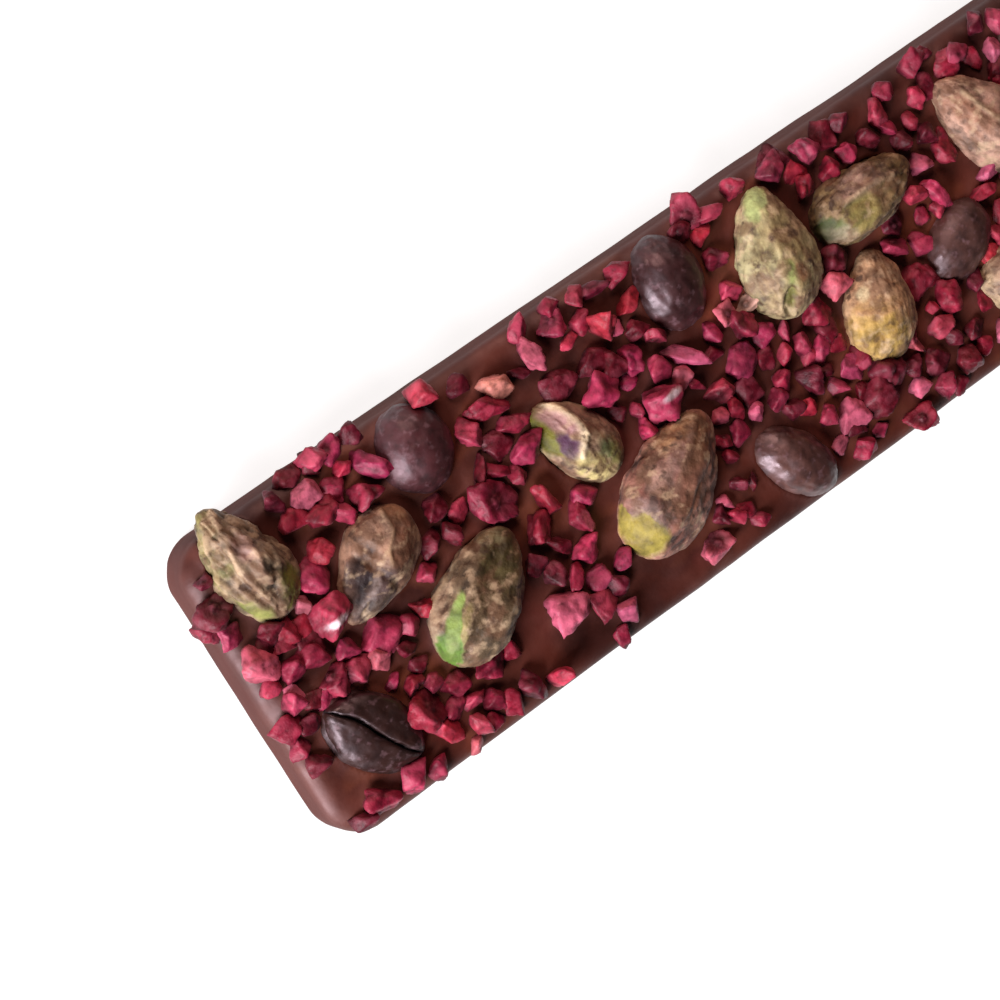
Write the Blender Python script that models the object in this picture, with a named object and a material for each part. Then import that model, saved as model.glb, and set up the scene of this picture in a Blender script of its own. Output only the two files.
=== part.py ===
"""Slim chocolate bark bar set with pistachio kernels, coffee beans and crumbs of dried red berry.

The bar lies flat with its toppings up.
The origin is the centre of its underside, +X runs along its length and +Z is up.
All sizes are in metres unless a name says otherwise.
"""

import math
import random

import bmesh
import bpy
from mathutils import Matrix, Vector, noise

# The chocolate slab
MM = 0.001
BAR_LENGTH = 0.150
BAR_WIDTH = 0.040
BAR_THICKNESS = 0.007
CORNER_RADIUS = 0.0052
CORNER_SEGMENTS = 4
EDGE_ROLL_WIDTH = 0.0032
EDGE_ROLL_DEPTH = 0.0022
EDGE_ROLL_STEPS = 3
FOOT_INSET = 0.0016
FOOT_HEIGHT = 0.0009
LONG_SIDE_CUTS = 5
SHORT_SIDE_CUTS = 2
OUTLINE_WANDER = 0.00022
WANDER_PACE = 60.0
WANDER_PHASE = 3.0

# Nuts and beans
SOCKET_GROWTH = 0.0006
SOCKET_SEGMENTS = 10
SOCKET_RINGS = 7
KERNEL_SEGMENTS = 12
KERNEL_RINGS = 8
BEAN_SEGMENTS = 12
BEAN_RINGS = 7
KERNEL_TAPER = 0.20
KERNEL_BLUNTING = 0.06
SEAM_HEIGHT = 0.09
SEAM_SPREAD = 0.30
WRINKLE_HEIGHT = 0.030
WRINKLE_COUNT = 5.0
WRINKLE_TWIST = 2.0
LUMP_HEIGHT = 0.07
LUMP_PACE_ALONG = 2.2
LUMP_PACE_ROUND = 1.6
TIP_PULL = 0.05
TIP_SHIFT = 0.02
KERNEL_PHASE = 1.7
BEAN_SIDE_POWER = 1.5
BEAN_FLAT_SHARE = 0.34
BEAN_HUMP_SHARE = 0.66
CREASE_DEPTH = 0.20
CREASE_SPREAD = 0.12
CREASE_BEND = 0.05
CREASE_TWIST = 3.0

# Berry crumbs
CRUMB_SEED = 7
CRUMB_SCALE = 1.18
SMALLEST_CRUMB_MM = 3.25
LARGE_CRUMB_MM = 4.2
LARGE_CRUMB_CORNERS = 10
SMALL_CRUMB_CORNERS = 8
CRUMB_FIRST_SEED = 1000
CORNER_SWAY = 0.35
CORNER_REACH = (0.80, 1.12)
CRUMB_SINK = 0.24
CRUMB_KEEP_OUT = 0.55
CHUNK_SHARE = 0.62
FLAKE_SHARE = 0.22
LEAN_LIMIT = 28.0
LIFT_LIMIT_MM = 0.25
TRAIL_JITTER_MM = 0.35
TRAIL_SIZE_SPREAD = 0.14
EDGE_MARGIN_MM = 0.1
FILL_TRIES = 2400
FILL_SPACING_MM = 3.5
FILL_STARTS_AT_MM = 23.0
FILL_SLANT = 0.62
FILL_MARGIN_MM = 1.3
FILL_SMALLEST_MM = 2.3
FILL_LARGEST_MM = 4.9
FILL_USUAL_MM = 3.3
BARE_PATCH_PACE = 0.09
BARE_PATCH_PHASE = 8.0
BARE_PATCH_LEVEL = -0.22

# Pistachio kernels: x, y, heading in degrees of the narrow tip, length, width, height and depth
# sunk into the chocolate, all in millimetres, then the roll of the seam in degrees
KERNELS = (
    (-67.4, 14.4, 99.0, 15.2, 8.7, 7.6, 2.6, 20.0),
    (-54.6, 5.8, -146.0, 14.4, 8.7, 7.4, 2.8, -25.0),
    (-46.1, -4.1, 35.0, 17.2, 10.4, 8.2, 2.8, 30.0),
    (-25.8, 4.2, 117.0, 13.4, 8.4, 6.6, 3.0, -30.0),
    (-18.5, -6.4, 31.0, 18.4, 10.8, 8.6, 2.8, 10.0),
    (8.2, 9.2, 77.0, 16.2, 10.4, 8.2, 2.8, 0.0),
    (22.4, 8.6, 4.0, 15.6, 8.6, 7.6, 2.8, 25.0),
    (17.0, -3.6, 66.0, 13.6, 9.4, 7.6, 2.8, -10.0),
    (38.6, -12.0, -22.0, 15.4, 9.2, 7.6, 2.8, 35.0),
    (42.4, 7.6, 118.0, 16.4, 9.8, 8.0, 2.8, -20.0),
    (55.0, -4.6, 36.0, 15.0, 9.4, 7.8, 2.8, 15.0),
    (67.0, 5.6, -100.0, 15.8, 9.0, 7.6, 2.8, -15.0),
)
# Coffee beans: x, y, heading in degrees, length, width, height and sunk depth in millimetres,
# and whether the creased flat side is up
BEANS = (
    (-65.3, -9.9, -54.0, 12.9, 9.0, 5.6, 2.4, True),
    (-43.3, 14.2, -98.0, 10.8, 9.6, 6.2, 2.2, False),
    (-5.4, 13.3, -96.0, 12.0, 9.2, 6.0, 2.2, False),
    (-2.6, -13.6, -56.0, 12.4, 7.8, 5.6, 2.2, False),
    (31.4, -3.0, 28.0, 11.6, 8.4, 5.6, 2.2, False),
    (55.0, 12.4, -15.0, 12.0, 8.6, 5.6, 2.4, True),
    (66.6, -12.2, 52.0, 11.4, 8.6, 5.8, 2.2, False),
)

# Crumbs lie in short trails: from x, y to x, y in millimetres, how many, and their size in
# millimetres. A trail of one crumb lies at its start.
TRAILS = (
    (-57.6, 19.9, -49.0, 19.6, 4, 3.3), (-61.0, 18.2, -54.0, 15.8, 3, 3.5),
    (-60.0, 15.4, -57.0, 13.8, 2, 3.5), (-51.2, 13.6, -49.2, 15.6, 2, 3.4),
    (-59.0, 11.0, -61.0, 8.6, 2, 3.8), (-45.2, 7.0, -52.6, -1.2, 4, 3.7),
    (-72.2, 15.0, -72.2, 15.0, 1, 2.6), (-64.4, 6.8, -66.2, 4.2, 2, 3.3),
    (-73.0, 8.8, -69.2, 6.8, 2, 3.6), (-71.2, 4.6, -69.2, 4.4, 2, 2.9),
    (-58.0, -0.8, -58.0, -0.8, 1, 4.5), (-66.2, 1.4, -66.2, -2.0, 2, 4.6),
    (-69.8, 1.2, -73.6, -4.2, 3, 3.7), (-69.2, -2.8, -73.4, -7.0, 3, 3.1),
    (-63.0, -2.8, -56.6, -4.2, 3, 3.2), (-60.4, -6.8, -54.2, -10.8, 4, 3.1),
    (-55.2, -12.8, -49.2, -16.8, 4, 3.3), (-54.0, -16.4, -54.0, -16.4, 1, 3.6),
    (-49.2, -12.0, -49.2, -12.0, 1, 3.8), (-46.0, -17.0, -46.0, -17.0, 1, 3.3),
    (-38.2, -5.2, -31.0, -12.8, 5, 3.4), (-33.2, -14.0, -31.2, -16.0, 2, 3.8),
    (-34.0, 13.8, -36.8, 11.8, 2, 4.4), (-34.2, 9.2, -34.2, 9.2, 1, 3.6),
    (-31.2, 10.0, -31.2, 10.0, 1, 3.6), (-38.0, 8.0, -34.0, 5.2, 3, 3.4),
    (-33.0, -0.2, -36.0, -2.0, 2, 4.2), (-29.0, -1.4, -30.2, -4.0, 2, 3.6),
    (-34.2, -5.0, -32.0, -7.0, 2, 3.4), (-25.4, 18.8, -25.2, 16.0, 2, 3.9),
    (-20.0, 19.2, -11.2, 17.8, 4, 3.2), (-21.0, 17.2, -18.0, 15.8, 2, 3.4),
    (-12.6, 11.2, -11.0, 9.0, 2, 3.2), (-24.2, 11.0, -24.2, 11.0, 1, 4.3),
    (-19.2, 11.0, -14.8, 8.2, 3, 3.8), (-12.0, 5.2, -9.0, 1.2, 3, 3.2),
    (-8.0, 5.0, -8.0, 5.0, 1, 4.8), (-17.8, 0.2, -17.8, 0.2, 1, 3.3),
    (1.0, 18.9, 3.0, 17.4, 2, 4.0), (-1.0, 18.0, 1.0, 16.0, 2, 3.0),
    (8.0, 18.8, 8.0, 18.8, 1, 4.0), (15.0, 18.7, 13.2, 17.4, 2, 3.9),
    (19.0, 17.6, 24.4, 18.0, 3, 3.3), (16.0, 15.8, 16.2, 13.8, 2, 3.4),
    (20.0, 13.8, 27.0, 14.0, 3, 3.4), (30.0, 16.4, 31.0, 11.4, 3, 3.1),
    (1.0, 12.0, 1.0, 12.0, 1, 2.9), (15.0, 4.2, 14.0, 1.2, 2, 4.0),
    (24.4, 3.2, 22.6, 1.4, 2, 3.8), (1.0, 8.2, -3.8, 5.2, 3, 3.6),
    (0.0, 4.0, 2.4, 1.2, 2, 3.6), (3.0, -2.0, 3.0, -2.0, 1, 3.3),
    (-3.0, 1.0, -3.0, 1.0, 1, 4.4), (10.0, 0.0, 7.8, -3.8, 3, 4.0),
    (10.0, -8.0, 14.2, -9.8, 2, 4.6), (1.0, -4.0, 4.2, -6.0, 2, 3.6),
    (-7.0, -1.0, -3.0, -3.2, 2, 3.8), (-1.0, -6.0, 4.0, -10.8, 4, 3.2),
    (7.0, -12.8, 5.8, -16.8, 3, 3.6), (7.0, -9.0, 9.2, -11.0, 2, 2.6),
    (11.0, -13.8, 11.0, -13.8, 1, 5.2), (-9.2, -6.0, -9.2, -6.0, 1, 2.7),
    (-11.0, -11.8, -9.2, -12.4, 2, 2.6), (-15.0, -14.0, -11.4, -15.0, 3, 2.5),
    (17.4, -12.6, 24.0, -15.8, 3, 3.6), (19.6, -16.6, 19.6, -16.6, 1, 3.4),
    (-67.6, 5.4, -62.8, -0.2, 3, 3.5), (-70.8, -1.6, -67.6, -4.4, 2, 3.3),
    (5.8, -1.8, 6.6, -6.8, 3, 3.4), (13.4, -6.2, 9.8, -4.8, 2, 3.5),
)
# Crumbs that stand out singly: x, y, three dimensions in millimetres, yaw, lean in degrees, lift
LANDMARKS = (
    (-61.0, 4.6, 5.6, 4.0, 5.0, 20.0, 25.0, 0.6),
    (-73.4, 12.2, 4.4, 3.8, 3.8, 10.0, 15.0, 0.4),
    (-74.9, 10.2, 4.6, 2.6, 2.6, -35.0, -10.0, 0.8),
    (-54.2, 20.3, 3.2, 3.0, 3.2, 20.0, 10.0, 0.9),
    (-72.8, 4.0, 4.8, 3.6, 3.0, -50.0, 10.0, 0.0),
    (-60.2, -11.0, 5.2, 4.6, 3.0, 20.0, 20.0, 0.4),
    (-57.8, -15.0, 5.0, 2.4, 2.4, -60.0, 10.0, 0.0),
    (-43.0, -17.4, 2.2, 2.0, 5.2, 0.0, 8.0, 0.0),
    (-64.2, -17.0, 4.8, 3.2, 3.4, 40.0, 20.0, 0.0),
    (-68.8, -17.0, 4.2, 3.2, 2.8, -20.0, 0.0, 0.0),
    (-37.2, -11.8, 5.0, 4.6, 3.2, 10.0, 15.0, 0.0),
    (-40.4, 18.2, 3.2, 2.8, 5.4, 30.0, 10.0, 0.4),
    (-31.0, 15.0, 4.6, 3.0, 2.6, -75.0, 12.0, 0.2),
    (-32.2, 6.8, 4.8, 2.6, 2.8, 20.0, 5.0, 0.2),
    (-39.0, 4.0, 5.6, 4.6, 3.2, -20.0, 20.0, 0.2),
    (-16.0, 13.8, 2.2, 4.0, 5.0, 40.0, 10.0, 0.2),
    (-11.0, 14.0, 5.0, 1.8, 2.2, 32.0, 5.0, 0.0),
    (-20.2, 7.2, 4.8, 4.2, 3.2, 15.0, 15.0, 0.2),
    (-14.2, 2.2, 4.8, 4.0, 3.6, -30.0, 10.0, 0.2),
    (2.0, 5.8, 3.8, 3.0, 2.8, 10.0, 0.0, 0.0),
    (-17.2, -16.2, 4.8, 3.4, 3.2, 10.0, 5.0, 0.0),
)


def start_empty_scene():
    """Remove the objects of the start-up scene."""
    for obj in list(bpy.data.objects):
        bpy.data.objects.remove(obj, do_unlink=True)


def new_collection(name):
    """Return a new collection linked to the scene."""
    collection = bpy.data.collections.new(name)
    bpy.context.scene.collection.children.link(collection)
    return collection


def new_material(name, colour, roughness):
    """Return a Principled material of one colour."""
    material = bpy.data.materials.new(name)
    material.use_nodes = True
    shader = material.node_tree.nodes["Principled BSDF"]
    shader.inputs["Base Color"].default_value = (*colour, 1.0)
    shader.inputs["Roughness"].default_value = roughness
    shader.inputs["Metallic"].default_value = 0.0
    return material


def object_from_bmesh(name, bm, collection, material=None):
    """Turn a bmesh into an object in the collection."""
    mesh = bpy.data.meshes.new(name)
    bmesh.ops.recalc_face_normals(bm, faces=bm.faces)
    bm.to_mesh(mesh)
    bm.free()
    if material is not None:
        mesh.materials.append(material)
    obj = bpy.data.objects.new(name, mesh)
    collection.objects.link(obj)
    return obj


def outline_points(inset, square_corners=False):
    """Points of the bar's outline, moved inwards: rounded with a slight wander, or squared and straight."""
    half_x = BAR_LENGTH / 2.0
    half_y = BAR_WIDTH / 2.0
    points = []
    corners = ((1, 1, 0.0), (-1, 1, 90.0), (-1, -1, 180.0), (1, -1, 270.0))
    for sign_x, sign_y, start in corners:
        centre_x = sign_x * (half_x - CORNER_RADIUS)
        centre_y = sign_y * (half_y - CORNER_RADIUS)
        radius = CORNER_RADIUS - inset
        for step in range(CORNER_SEGMENTS + 1):
            angle = math.radians(start + 90.0 * step / CORNER_SEGMENTS)
            spoke = Vector((math.cos(angle), math.sin(angle)))
            if square_corners:
                spoke /= max(abs(spoke.x), abs(spoke.y))
            points.append(Vector((centre_x, centre_y)) + spoke * radius)
        cuts = LONG_SIDE_CUTS if sign_x * sign_y > 0 else SHORT_SIDE_CUTS
        reach_x = BAR_LENGTH - 2.0 * CORNER_RADIUS
        reach_y = BAR_WIDTH - 2.0 * CORNER_RADIUS
        tangent = math.radians(start + 180.0)
        reach = reach_x if sign_x * sign_y > 0 else reach_y
        last = points[-1]
        for step in range(1, cuts + 1):
            along = reach * step / (cuts + 1)
            points.append(last + Vector((math.cos(tangent), math.sin(tangent))) * along)
    if square_corners:
        return points
    wandered = []
    for point in points:
        wave = noise.noise(Vector((point.x * WANDER_PACE, point.y * WANDER_PACE, WANDER_PHASE)))
        wandered.append(point * (1.0 - OUTLINE_WANDER * (1.0 + wave) / (BAR_WIDTH / 2.0)))
    return wandered


def slab_sections():
    """Height and inset of each outline that the slab is lofted through, from above its foot to the top."""
    sections = [(FOOT_HEIGHT, 0.0)]
    for step in range(EDGE_ROLL_STEPS + 1):
        angle = math.radians(90.0 * step / EDGE_ROLL_STEPS)
        height = BAR_THICKNESS - EDGE_ROLL_DEPTH * (1.0 - math.sin(angle))
        inset = EDGE_ROLL_WIDTH * (1.0 - math.cos(angle))
        sections.append((height, inset))
    return sections


def build_slab(collection, material):
    """Loft the bar's body through its outlines, from the flat foot over the rolled edge."""
    bm = bmesh.new()
    rings = [[bm.verts.new((point.x, point.y, 0.0)) for point in outline_points(FOOT_INSET, True)]]
    for height, inset in slab_sections():
        ring = [bm.verts.new((point.x, point.y, height)) for point in outline_points(inset)]
        rings.append(ring)
    count = len(rings[0])
    for lower, upper in zip(rings, rings[1:]):
        for index in range(count):
            following = (index + 1) % count
            bm.faces.new((lower[index], lower[following], upper[following], upper[index]))
    bm.faces.new(list(reversed(rings[0])))
    bm.faces.new(rings[-1])
    return object_from_bmesh("chocolate_slab", bm, collection, material)


def depth_inside(x, y):
    """Distance of a place inwards from the bar's rounded outline."""
    corner_x = abs(x) - (BAR_LENGTH / 2.0 - CORNER_RADIUS)
    corner_y = abs(y) - (BAR_WIDTH / 2.0 - CORNER_RADIUS)
    beyond = math.hypot(max(corner_x, 0.0), max(corner_y, 0.0))
    return CORNER_RADIUS - beyond - min(max(corner_x, corner_y), 0.0)


def top_height(x, y):
    """Height of the chocolate's top face at a place, down over the rolled edge."""
    depth = depth_inside(x, y)
    if depth >= EDGE_ROLL_WIDTH:
        return BAR_THICKNESS
    across = min(1.0, 1.0 - depth / EDGE_ROLL_WIDTH)
    return BAR_THICKNESS - EDGE_ROLL_DEPTH * (1.0 - math.sqrt(1.0 - across * across))


def lying_sphere(segments, rings):
    """Return a bmesh of a unit sphere whose poles lie along X."""
    bm = bmesh.new()
    bmesh.ops.create_uvsphere(bm, u_segments=segments, v_segments=rings, radius=1.0)
    bmesh.ops.rotate(bm, verts=bm.verts, matrix=Matrix.Rotation(math.radians(90.0), 3, "Y"))
    return bm


def kernel_point(point, length, width, height, seam, phase):
    """Move a point of the unit sphere to the skin of a wrinkled kernel with a narrow tip at +X."""
    along = point.x
    angle = math.atan2(point.z, point.y)
    middle = 1.0 - along * along
    taper = 1.0 - KERNEL_TAPER * along - KERNEL_BLUNTING * along * along
    from_seam = math.remainder(angle - seam, math.tau) / SEAM_SPREAD
    ridge = SEAM_HEIGHT * middle * math.exp(-from_seam * from_seam)
    wrinkle = WRINKLE_HEIGHT * middle * math.sin(WRINKLE_COUNT * angle + WRINKLE_TWIST * along + phase)
    place = Vector((LUMP_PACE_ALONG * along + phase, LUMP_PACE_ROUND * point.y, LUMP_PACE_ROUND * point.z))
    swell = taper * (1.0 + ridge + wrinkle + LUMP_HEIGHT * noise.noise(place))
    tip = TIP_PULL * max(along, 0.0) ** 3
    return Vector((
        0.5 * length * (along + tip - TIP_SHIFT),
        0.5 * width * point.y * swell,
        0.5 * height * point.z * swell,
    ))


def bean_point(point, length, width, height):
    """Move a point of the unit sphere to a bean with a flat creased side at -Z."""
    along = point.x
    middle = max(0.0, 1.0 - along * along)
    across = point.y
    if point.z < 0.0:
        across = math.copysign(abs(point.y) ** BEAN_SIDE_POWER, point.y)
        level = -BEAN_FLAT_SHARE * height * (1.0 - (1.0 + point.z) ** 2)
        from_crease = (across - CREASE_BEND * math.sin(CREASE_TWIST * along)) / CREASE_SPREAD
        level += CREASE_DEPTH * height * math.exp(-from_crease * from_crease) * math.sqrt(middle)
    else:
        level = BEAN_HUMP_SHARE * height * point.z
    return Vector((0.5 * length * along, 0.5 * width * across, level))


def bed(bm, x_mm, y_mm, heading, sunk_mm):
    """Turn a topping to its heading and let it down until it is sunk into the chocolate."""
    bmesh.ops.rotate(bm, verts=bm.verts, matrix=Matrix.Rotation(math.radians(heading), 3, "Z"))
    lowest = min(vert.co.z for vert in bm.verts)
    place = Vector((x_mm * MM, y_mm * MM, BAR_THICKNESS - sunk_mm * MM - lowest))
    bmesh.ops.translate(bm, verts=bm.verts, vec=place)


def kernel_mesh(index, segments=KERNEL_SEGMENTS, rings=KERNEL_RINGS):
    """Return the bmesh of one pistachio kernel, in its place."""
    x_mm, y_mm, heading, length, width, height, sunk, roll = KERNELS[index]
    bm = lying_sphere(segments, rings)
    seam = math.radians(90.0 + roll)
    for vert in bm.verts:
        vert.co = kernel_point(vert.co, length * MM, width * MM, height * MM, seam, KERNEL_PHASE * index)
    bed(bm, x_mm, y_mm, heading, sunk)
    return bm


def bean_mesh(index, segments=BEAN_SEGMENTS, rings=BEAN_RINGS):
    """Return the bmesh of one coffee bean, in its place."""
    x_mm, y_mm, heading, length, width, height, sunk, crease_up = BEANS[index]
    bm = lying_sphere(segments, rings)
    for vert in bm.verts:
        vert.co = bean_point(vert.co, length * MM, width * MM, height * MM)
    if crease_up:
        bmesh.ops.rotate(bm, verts=bm.verts, matrix=Matrix.Rotation(math.pi, 3, "X"))
    bed(bm, x_mm, y_mm, heading, sunk)
    return bm


def socket_cutter(name, bm, collection):
    """Make the cutter of a topping's socket: its convex outer form, a little larger all round."""
    hull = bmesh.new()
    for vert in bm.verts:
        hull.verts.new(vert.co)
    bmesh.ops.convex_hull(hull, input=hull.verts)
    loose = [vert for vert in hull.verts if not vert.link_faces]
    bmesh.ops.delete(hull, geom=loose, context="VERTS")
    bmesh.ops.recalc_face_normals(hull, faces=hull.faces)
    hull.normal_update()
    grown = [(vert, vert.co + vert.normal * SOCKET_GROWTH) for vert in hull.verts]
    for vert, place in grown:
        vert.co = place
    cutter = object_from_bmesh(name, hull, collection)
    cutter.hide_render = True
    cutter.display_type = "WIRE"
    return cutter


def clear_of_toppings(x_mm, y_mm, radius_mm):
    """Move a crumb's place out from under any nut or bean that it would lie in."""
    for centre_x, centre_y, heading, length, width in (row[:5] for row in KERNELS + BEANS):
        cosine = math.cos(math.radians(heading))
        sine = math.sin(math.radians(heading))
        offset_x = x_mm - centre_x
        offset_y = y_mm - centre_y
        along = offset_x * cosine + offset_y * sine
        across = -offset_x * sine + offset_y * cosine
        reach_along = length / 2.0 + CRUMB_KEEP_OUT * radius_mm
        reach_across = width / 2.0 + CRUMB_KEEP_OUT * radius_mm
        inside = math.hypot(along / reach_along, across / reach_across)
        if 0.0 < inside < 1.0:
            along /= inside
            across /= inside
            x_mm = centre_x + along * cosine - across * sine
            y_mm = centre_y + along * sine + across * cosine
    limit_x = 0.5 * BAR_LENGTH / MM - EDGE_MARGIN_MM
    limit_y = 0.5 * BAR_WIDTH / MM - EDGE_MARGIN_MM
    return max(-limit_x, min(limit_x, x_mm)), max(-limit_y, min(limit_y, y_mm))


def crumb_layout():
    """Return each crumb as x, y, three dimensions, yaw, lean and lift, in millimetres and degrees."""
    draw = random.Random(CRUMB_SEED)
    crumbs = [list(row) for row in LANDMARKS]
    for start_x, start_y, end_x, end_y, count, size in TRAILS:
        for step in range(count):
            share = step / (count - 1) if count > 1 else 0.0
            x_mm = start_x + (end_x - start_x) * share + draw.uniform(-1.0, 1.0) * TRAIL_JITTER_MM
            y_mm = start_y + (end_y - start_y) * share + draw.uniform(-1.0, 1.0) * TRAIL_JITTER_MM
            spread = 1.0 + draw.uniform(-TRAIL_SIZE_SPREAD, TRAIL_SIZE_SPREAD)
            crumbs.append(loose_crumb(draw, x_mm, y_mm, size * spread))
    taken = [(row[0], row[1]) for row in crumbs]
    for _ in range(FILL_TRIES):
        x_mm = draw.uniform(0.0, 0.5) * BAR_LENGTH / MM
        y_mm = draw.uniform(-0.5, 0.5) * BAR_WIDTH / MM
        size = draw.triangular(FILL_SMALLEST_MM, FILL_LARGEST_MM, FILL_USUAL_MM)
        if x_mm < FILL_STARTS_AT_MM + FILL_SLANT * y_mm:
            continue
        if depth_inside(x_mm * MM, y_mm * MM) < FILL_MARGIN_MM * MM:
            continue
        patch = noise.noise(Vector((x_mm * BARE_PATCH_PACE, y_mm * BARE_PATCH_PACE, BARE_PATCH_PHASE)))
        if patch < BARE_PATCH_LEVEL:
            continue
        if min(math.hypot(x_mm - x, y_mm - y) for x, y in taken) < FILL_SPACING_MM:
            continue
        taken.append((x_mm, y_mm))
        crumbs.append(loose_crumb(draw, x_mm, y_mm, size))
    for row in crumbs:
        row[0], row[1] = clear_of_toppings(row[0], row[1], 0.5 * row[2])
    return crumbs


def loose_crumb(draw, x_mm, y_mm, size):
    """Return one broken crumb at a place: a chunk, a flake or a splinter of the size."""
    kind = draw.random()
    if kind < CHUNK_SHARE:
        dims = (size, size * draw.uniform(0.72, 0.92), size * draw.uniform(0.62, 0.85))
    elif kind < CHUNK_SHARE + FLAKE_SHARE:
        dims = (size * 1.05, size * draw.uniform(0.75, 0.95), size * draw.uniform(0.38, 0.5))
    else:
        dims = (size * 1.25, size * draw.uniform(0.5, 0.62), size * draw.uniform(0.5, 0.65))
    yaw = draw.uniform(0.0, 360.0)
    lean = draw.uniform(-LEAN_LIMIT, LEAN_LIMIT)
    return [x_mm, y_mm, *dims, yaw, lean, draw.uniform(0.0, LIFT_LIMIT_MM)]


def crumb_mesh(row, index):
    """Return the bmesh of one crumb: the hull of corners set round an ellipsoid, sunk at its foot."""
    x_mm, y_mm, size_x, size_y, size_z, yaw, lean, lift = row
    draw = random.Random(CRUMB_FIRST_SEED + index)
    half = Vector((size_x, size_y, size_z)) * 0.5 * CRUMB_SCALE * MM
    turn = Matrix.Rotation(math.radians(yaw), 3, "Z") @ Matrix.Rotation(math.radians(lean), 3, "Y")
    bm = bmesh.new()
    golden = math.pi * (3.0 - math.sqrt(5.0))
    start = draw.uniform(0.0, math.tau)
    corners = LARGE_CRUMB_CORNERS if size_x >= LARGE_CRUMB_MM else SMALL_CRUMB_CORNERS
    for corner in range(corners):
        level = 1.0 - 2.0 * (corner + 0.5) / corners
        angle = start + golden * corner + draw.uniform(-CORNER_SWAY, CORNER_SWAY)
        ring = math.sqrt(1.0 - level * level)
        reach = draw.uniform(*CORNER_REACH)
        point = Vector((ring * math.cos(angle) * half.x, ring * math.sin(angle) * half.y, level * half.z))
        bm.verts.new(turn @ (point * reach))
    bmesh.ops.convex_hull(bm, input=bm.verts)
    loose = [vert for vert in bm.verts if not vert.link_faces]
    bmesh.ops.delete(bm, geom=loose, context="VERTS")
    lowest = min(vert.co.z for vert in bm.verts)
    highest = max(vert.co.z for vert in bm.verts)
    ground = top_height(x_mm * MM, y_mm * MM)
    rise = ground - lowest - CRUMB_SINK * (highest - lowest) + lift * MM
    bmesh.ops.translate(bm, verts=bm.verts, vec=Vector((x_mm * MM, y_mm * MM, rise)))
    return bm


def apply_boolean(target, operand, operation):
    """Join to or cut from the target the whole of a collection, and apply it."""
    modifier = target.modifiers.new(operation.lower(), "BOOLEAN")
    modifier.operation = operation
    modifier.operand_type = "COLLECTION"
    modifier.collection = operand
    modifier.solver = "EXACT"
    depsgraph = bpy.context.evaluated_depsgraph_get()
    result = bpy.data.meshes.new_from_object(target.evaluated_get(depsgraph))
    target.modifiers.remove(modifier)
    old = target.data
    target.data = result
    bpy.data.meshes.remove(old)


def empty_collection(collection):
    """Remove a collection and the objects in it."""
    for obj in list(collection.objects):
        bpy.data.objects.remove(obj, do_unlink=True)
    bpy.data.collections.remove(collection)


def keep_largest_shell(target):
    """Drop loose scraps and fill sealed hollows, which are the smaller shells of the mesh."""
    bm = bmesh.new()
    bm.from_mesh(target.data)
    bmesh.ops.triangulate(bm, faces=bm.faces)
    unseen = set(bm.verts)
    shells = []
    while unseen:
        front = [unseen.pop()]
        shell = list(front)
        while front:
            vert = front.pop()
            for edge in vert.link_edges:
                other = edge.other_vert(vert)
                if other in unseen:
                    unseen.remove(other)
                    front.append(other)
                    shell.append(other)
        shells.append(shell)
    shells.sort(key=len, reverse=True)
    for shell in shells[1:]:
        bmesh.ops.delete(bm, geom=shell, context="VERTS")
    bm.to_mesh(target.data)
    bm.free()


def main():
    """Build the slab, fuse its crumbs, and set the kernels and beans into their sockets."""
    start_empty_scene()
    bark = new_collection("chocolate_bark")
    crumbs = new_collection("berry_crumbs")
    cutters = new_collection("socket_cutters")
    chocolate = new_material("milk_chocolate", (0.085, 0.032, 0.020), 0.42)
    kernel_skin = new_material("pistachio_skin", (0.36, 0.27, 0.14), 0.70)
    roast = new_material("roasted_coffee", (0.035, 0.018, 0.016), 0.45)

    slab = build_slab(bark, chocolate)
    for index, row in enumerate(crumb_layout()):
        if row[2] < SMALLEST_CRUMB_MM:
            continue
        object_from_bmesh(f"crumb_{index + 1}", crumb_mesh(row, index), crumbs)
    for index in range(len(KERNELS)):
        name = f"pistachio_{index + 1}"
        socket_cutter(f"{name}_socket", kernel_mesh(index, SOCKET_SEGMENTS, SOCKET_RINGS), cutters)
        kernel = object_from_bmesh(name, kernel_mesh(index), bark, kernel_skin)
        kernel.data.shade_smooth()
    for index in range(len(BEANS)):
        name = f"coffee_bean_{index + 1}"
        socket_cutter(f"{name}_socket", bean_mesh(index, SOCKET_SEGMENTS, SOCKET_RINGS), cutters)
        bean = object_from_bmesh(name, bean_mesh(index), bark, roast)
        bean.data.shade_smooth()

    apply_boolean(slab, crumbs, "UNION")
    empty_collection(crumbs)
    apply_boolean(slab, cutters, "DIFFERENCE")
    empty_collection(cutters)
    keep_largest_shell(slab)


if __name__ == "__main__":
    main()
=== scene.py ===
"""Looks of a slim chocolate bark bar set with pistachio kernels, coffee beans and dried berry crumbs.

The bar lies flat with its toppings up. The origin is the centre of its underside, +X runs along
its length and +Z is up. Sizes whose names end in mm are millimetres, and the others metres.
"""

import logging
import math
import random
from dataclasses import dataclass, field
from enum import Enum

import bmesh
import bpy
import numpy as np
from mathutils import Euler, Matrix, Vector, noise


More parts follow.
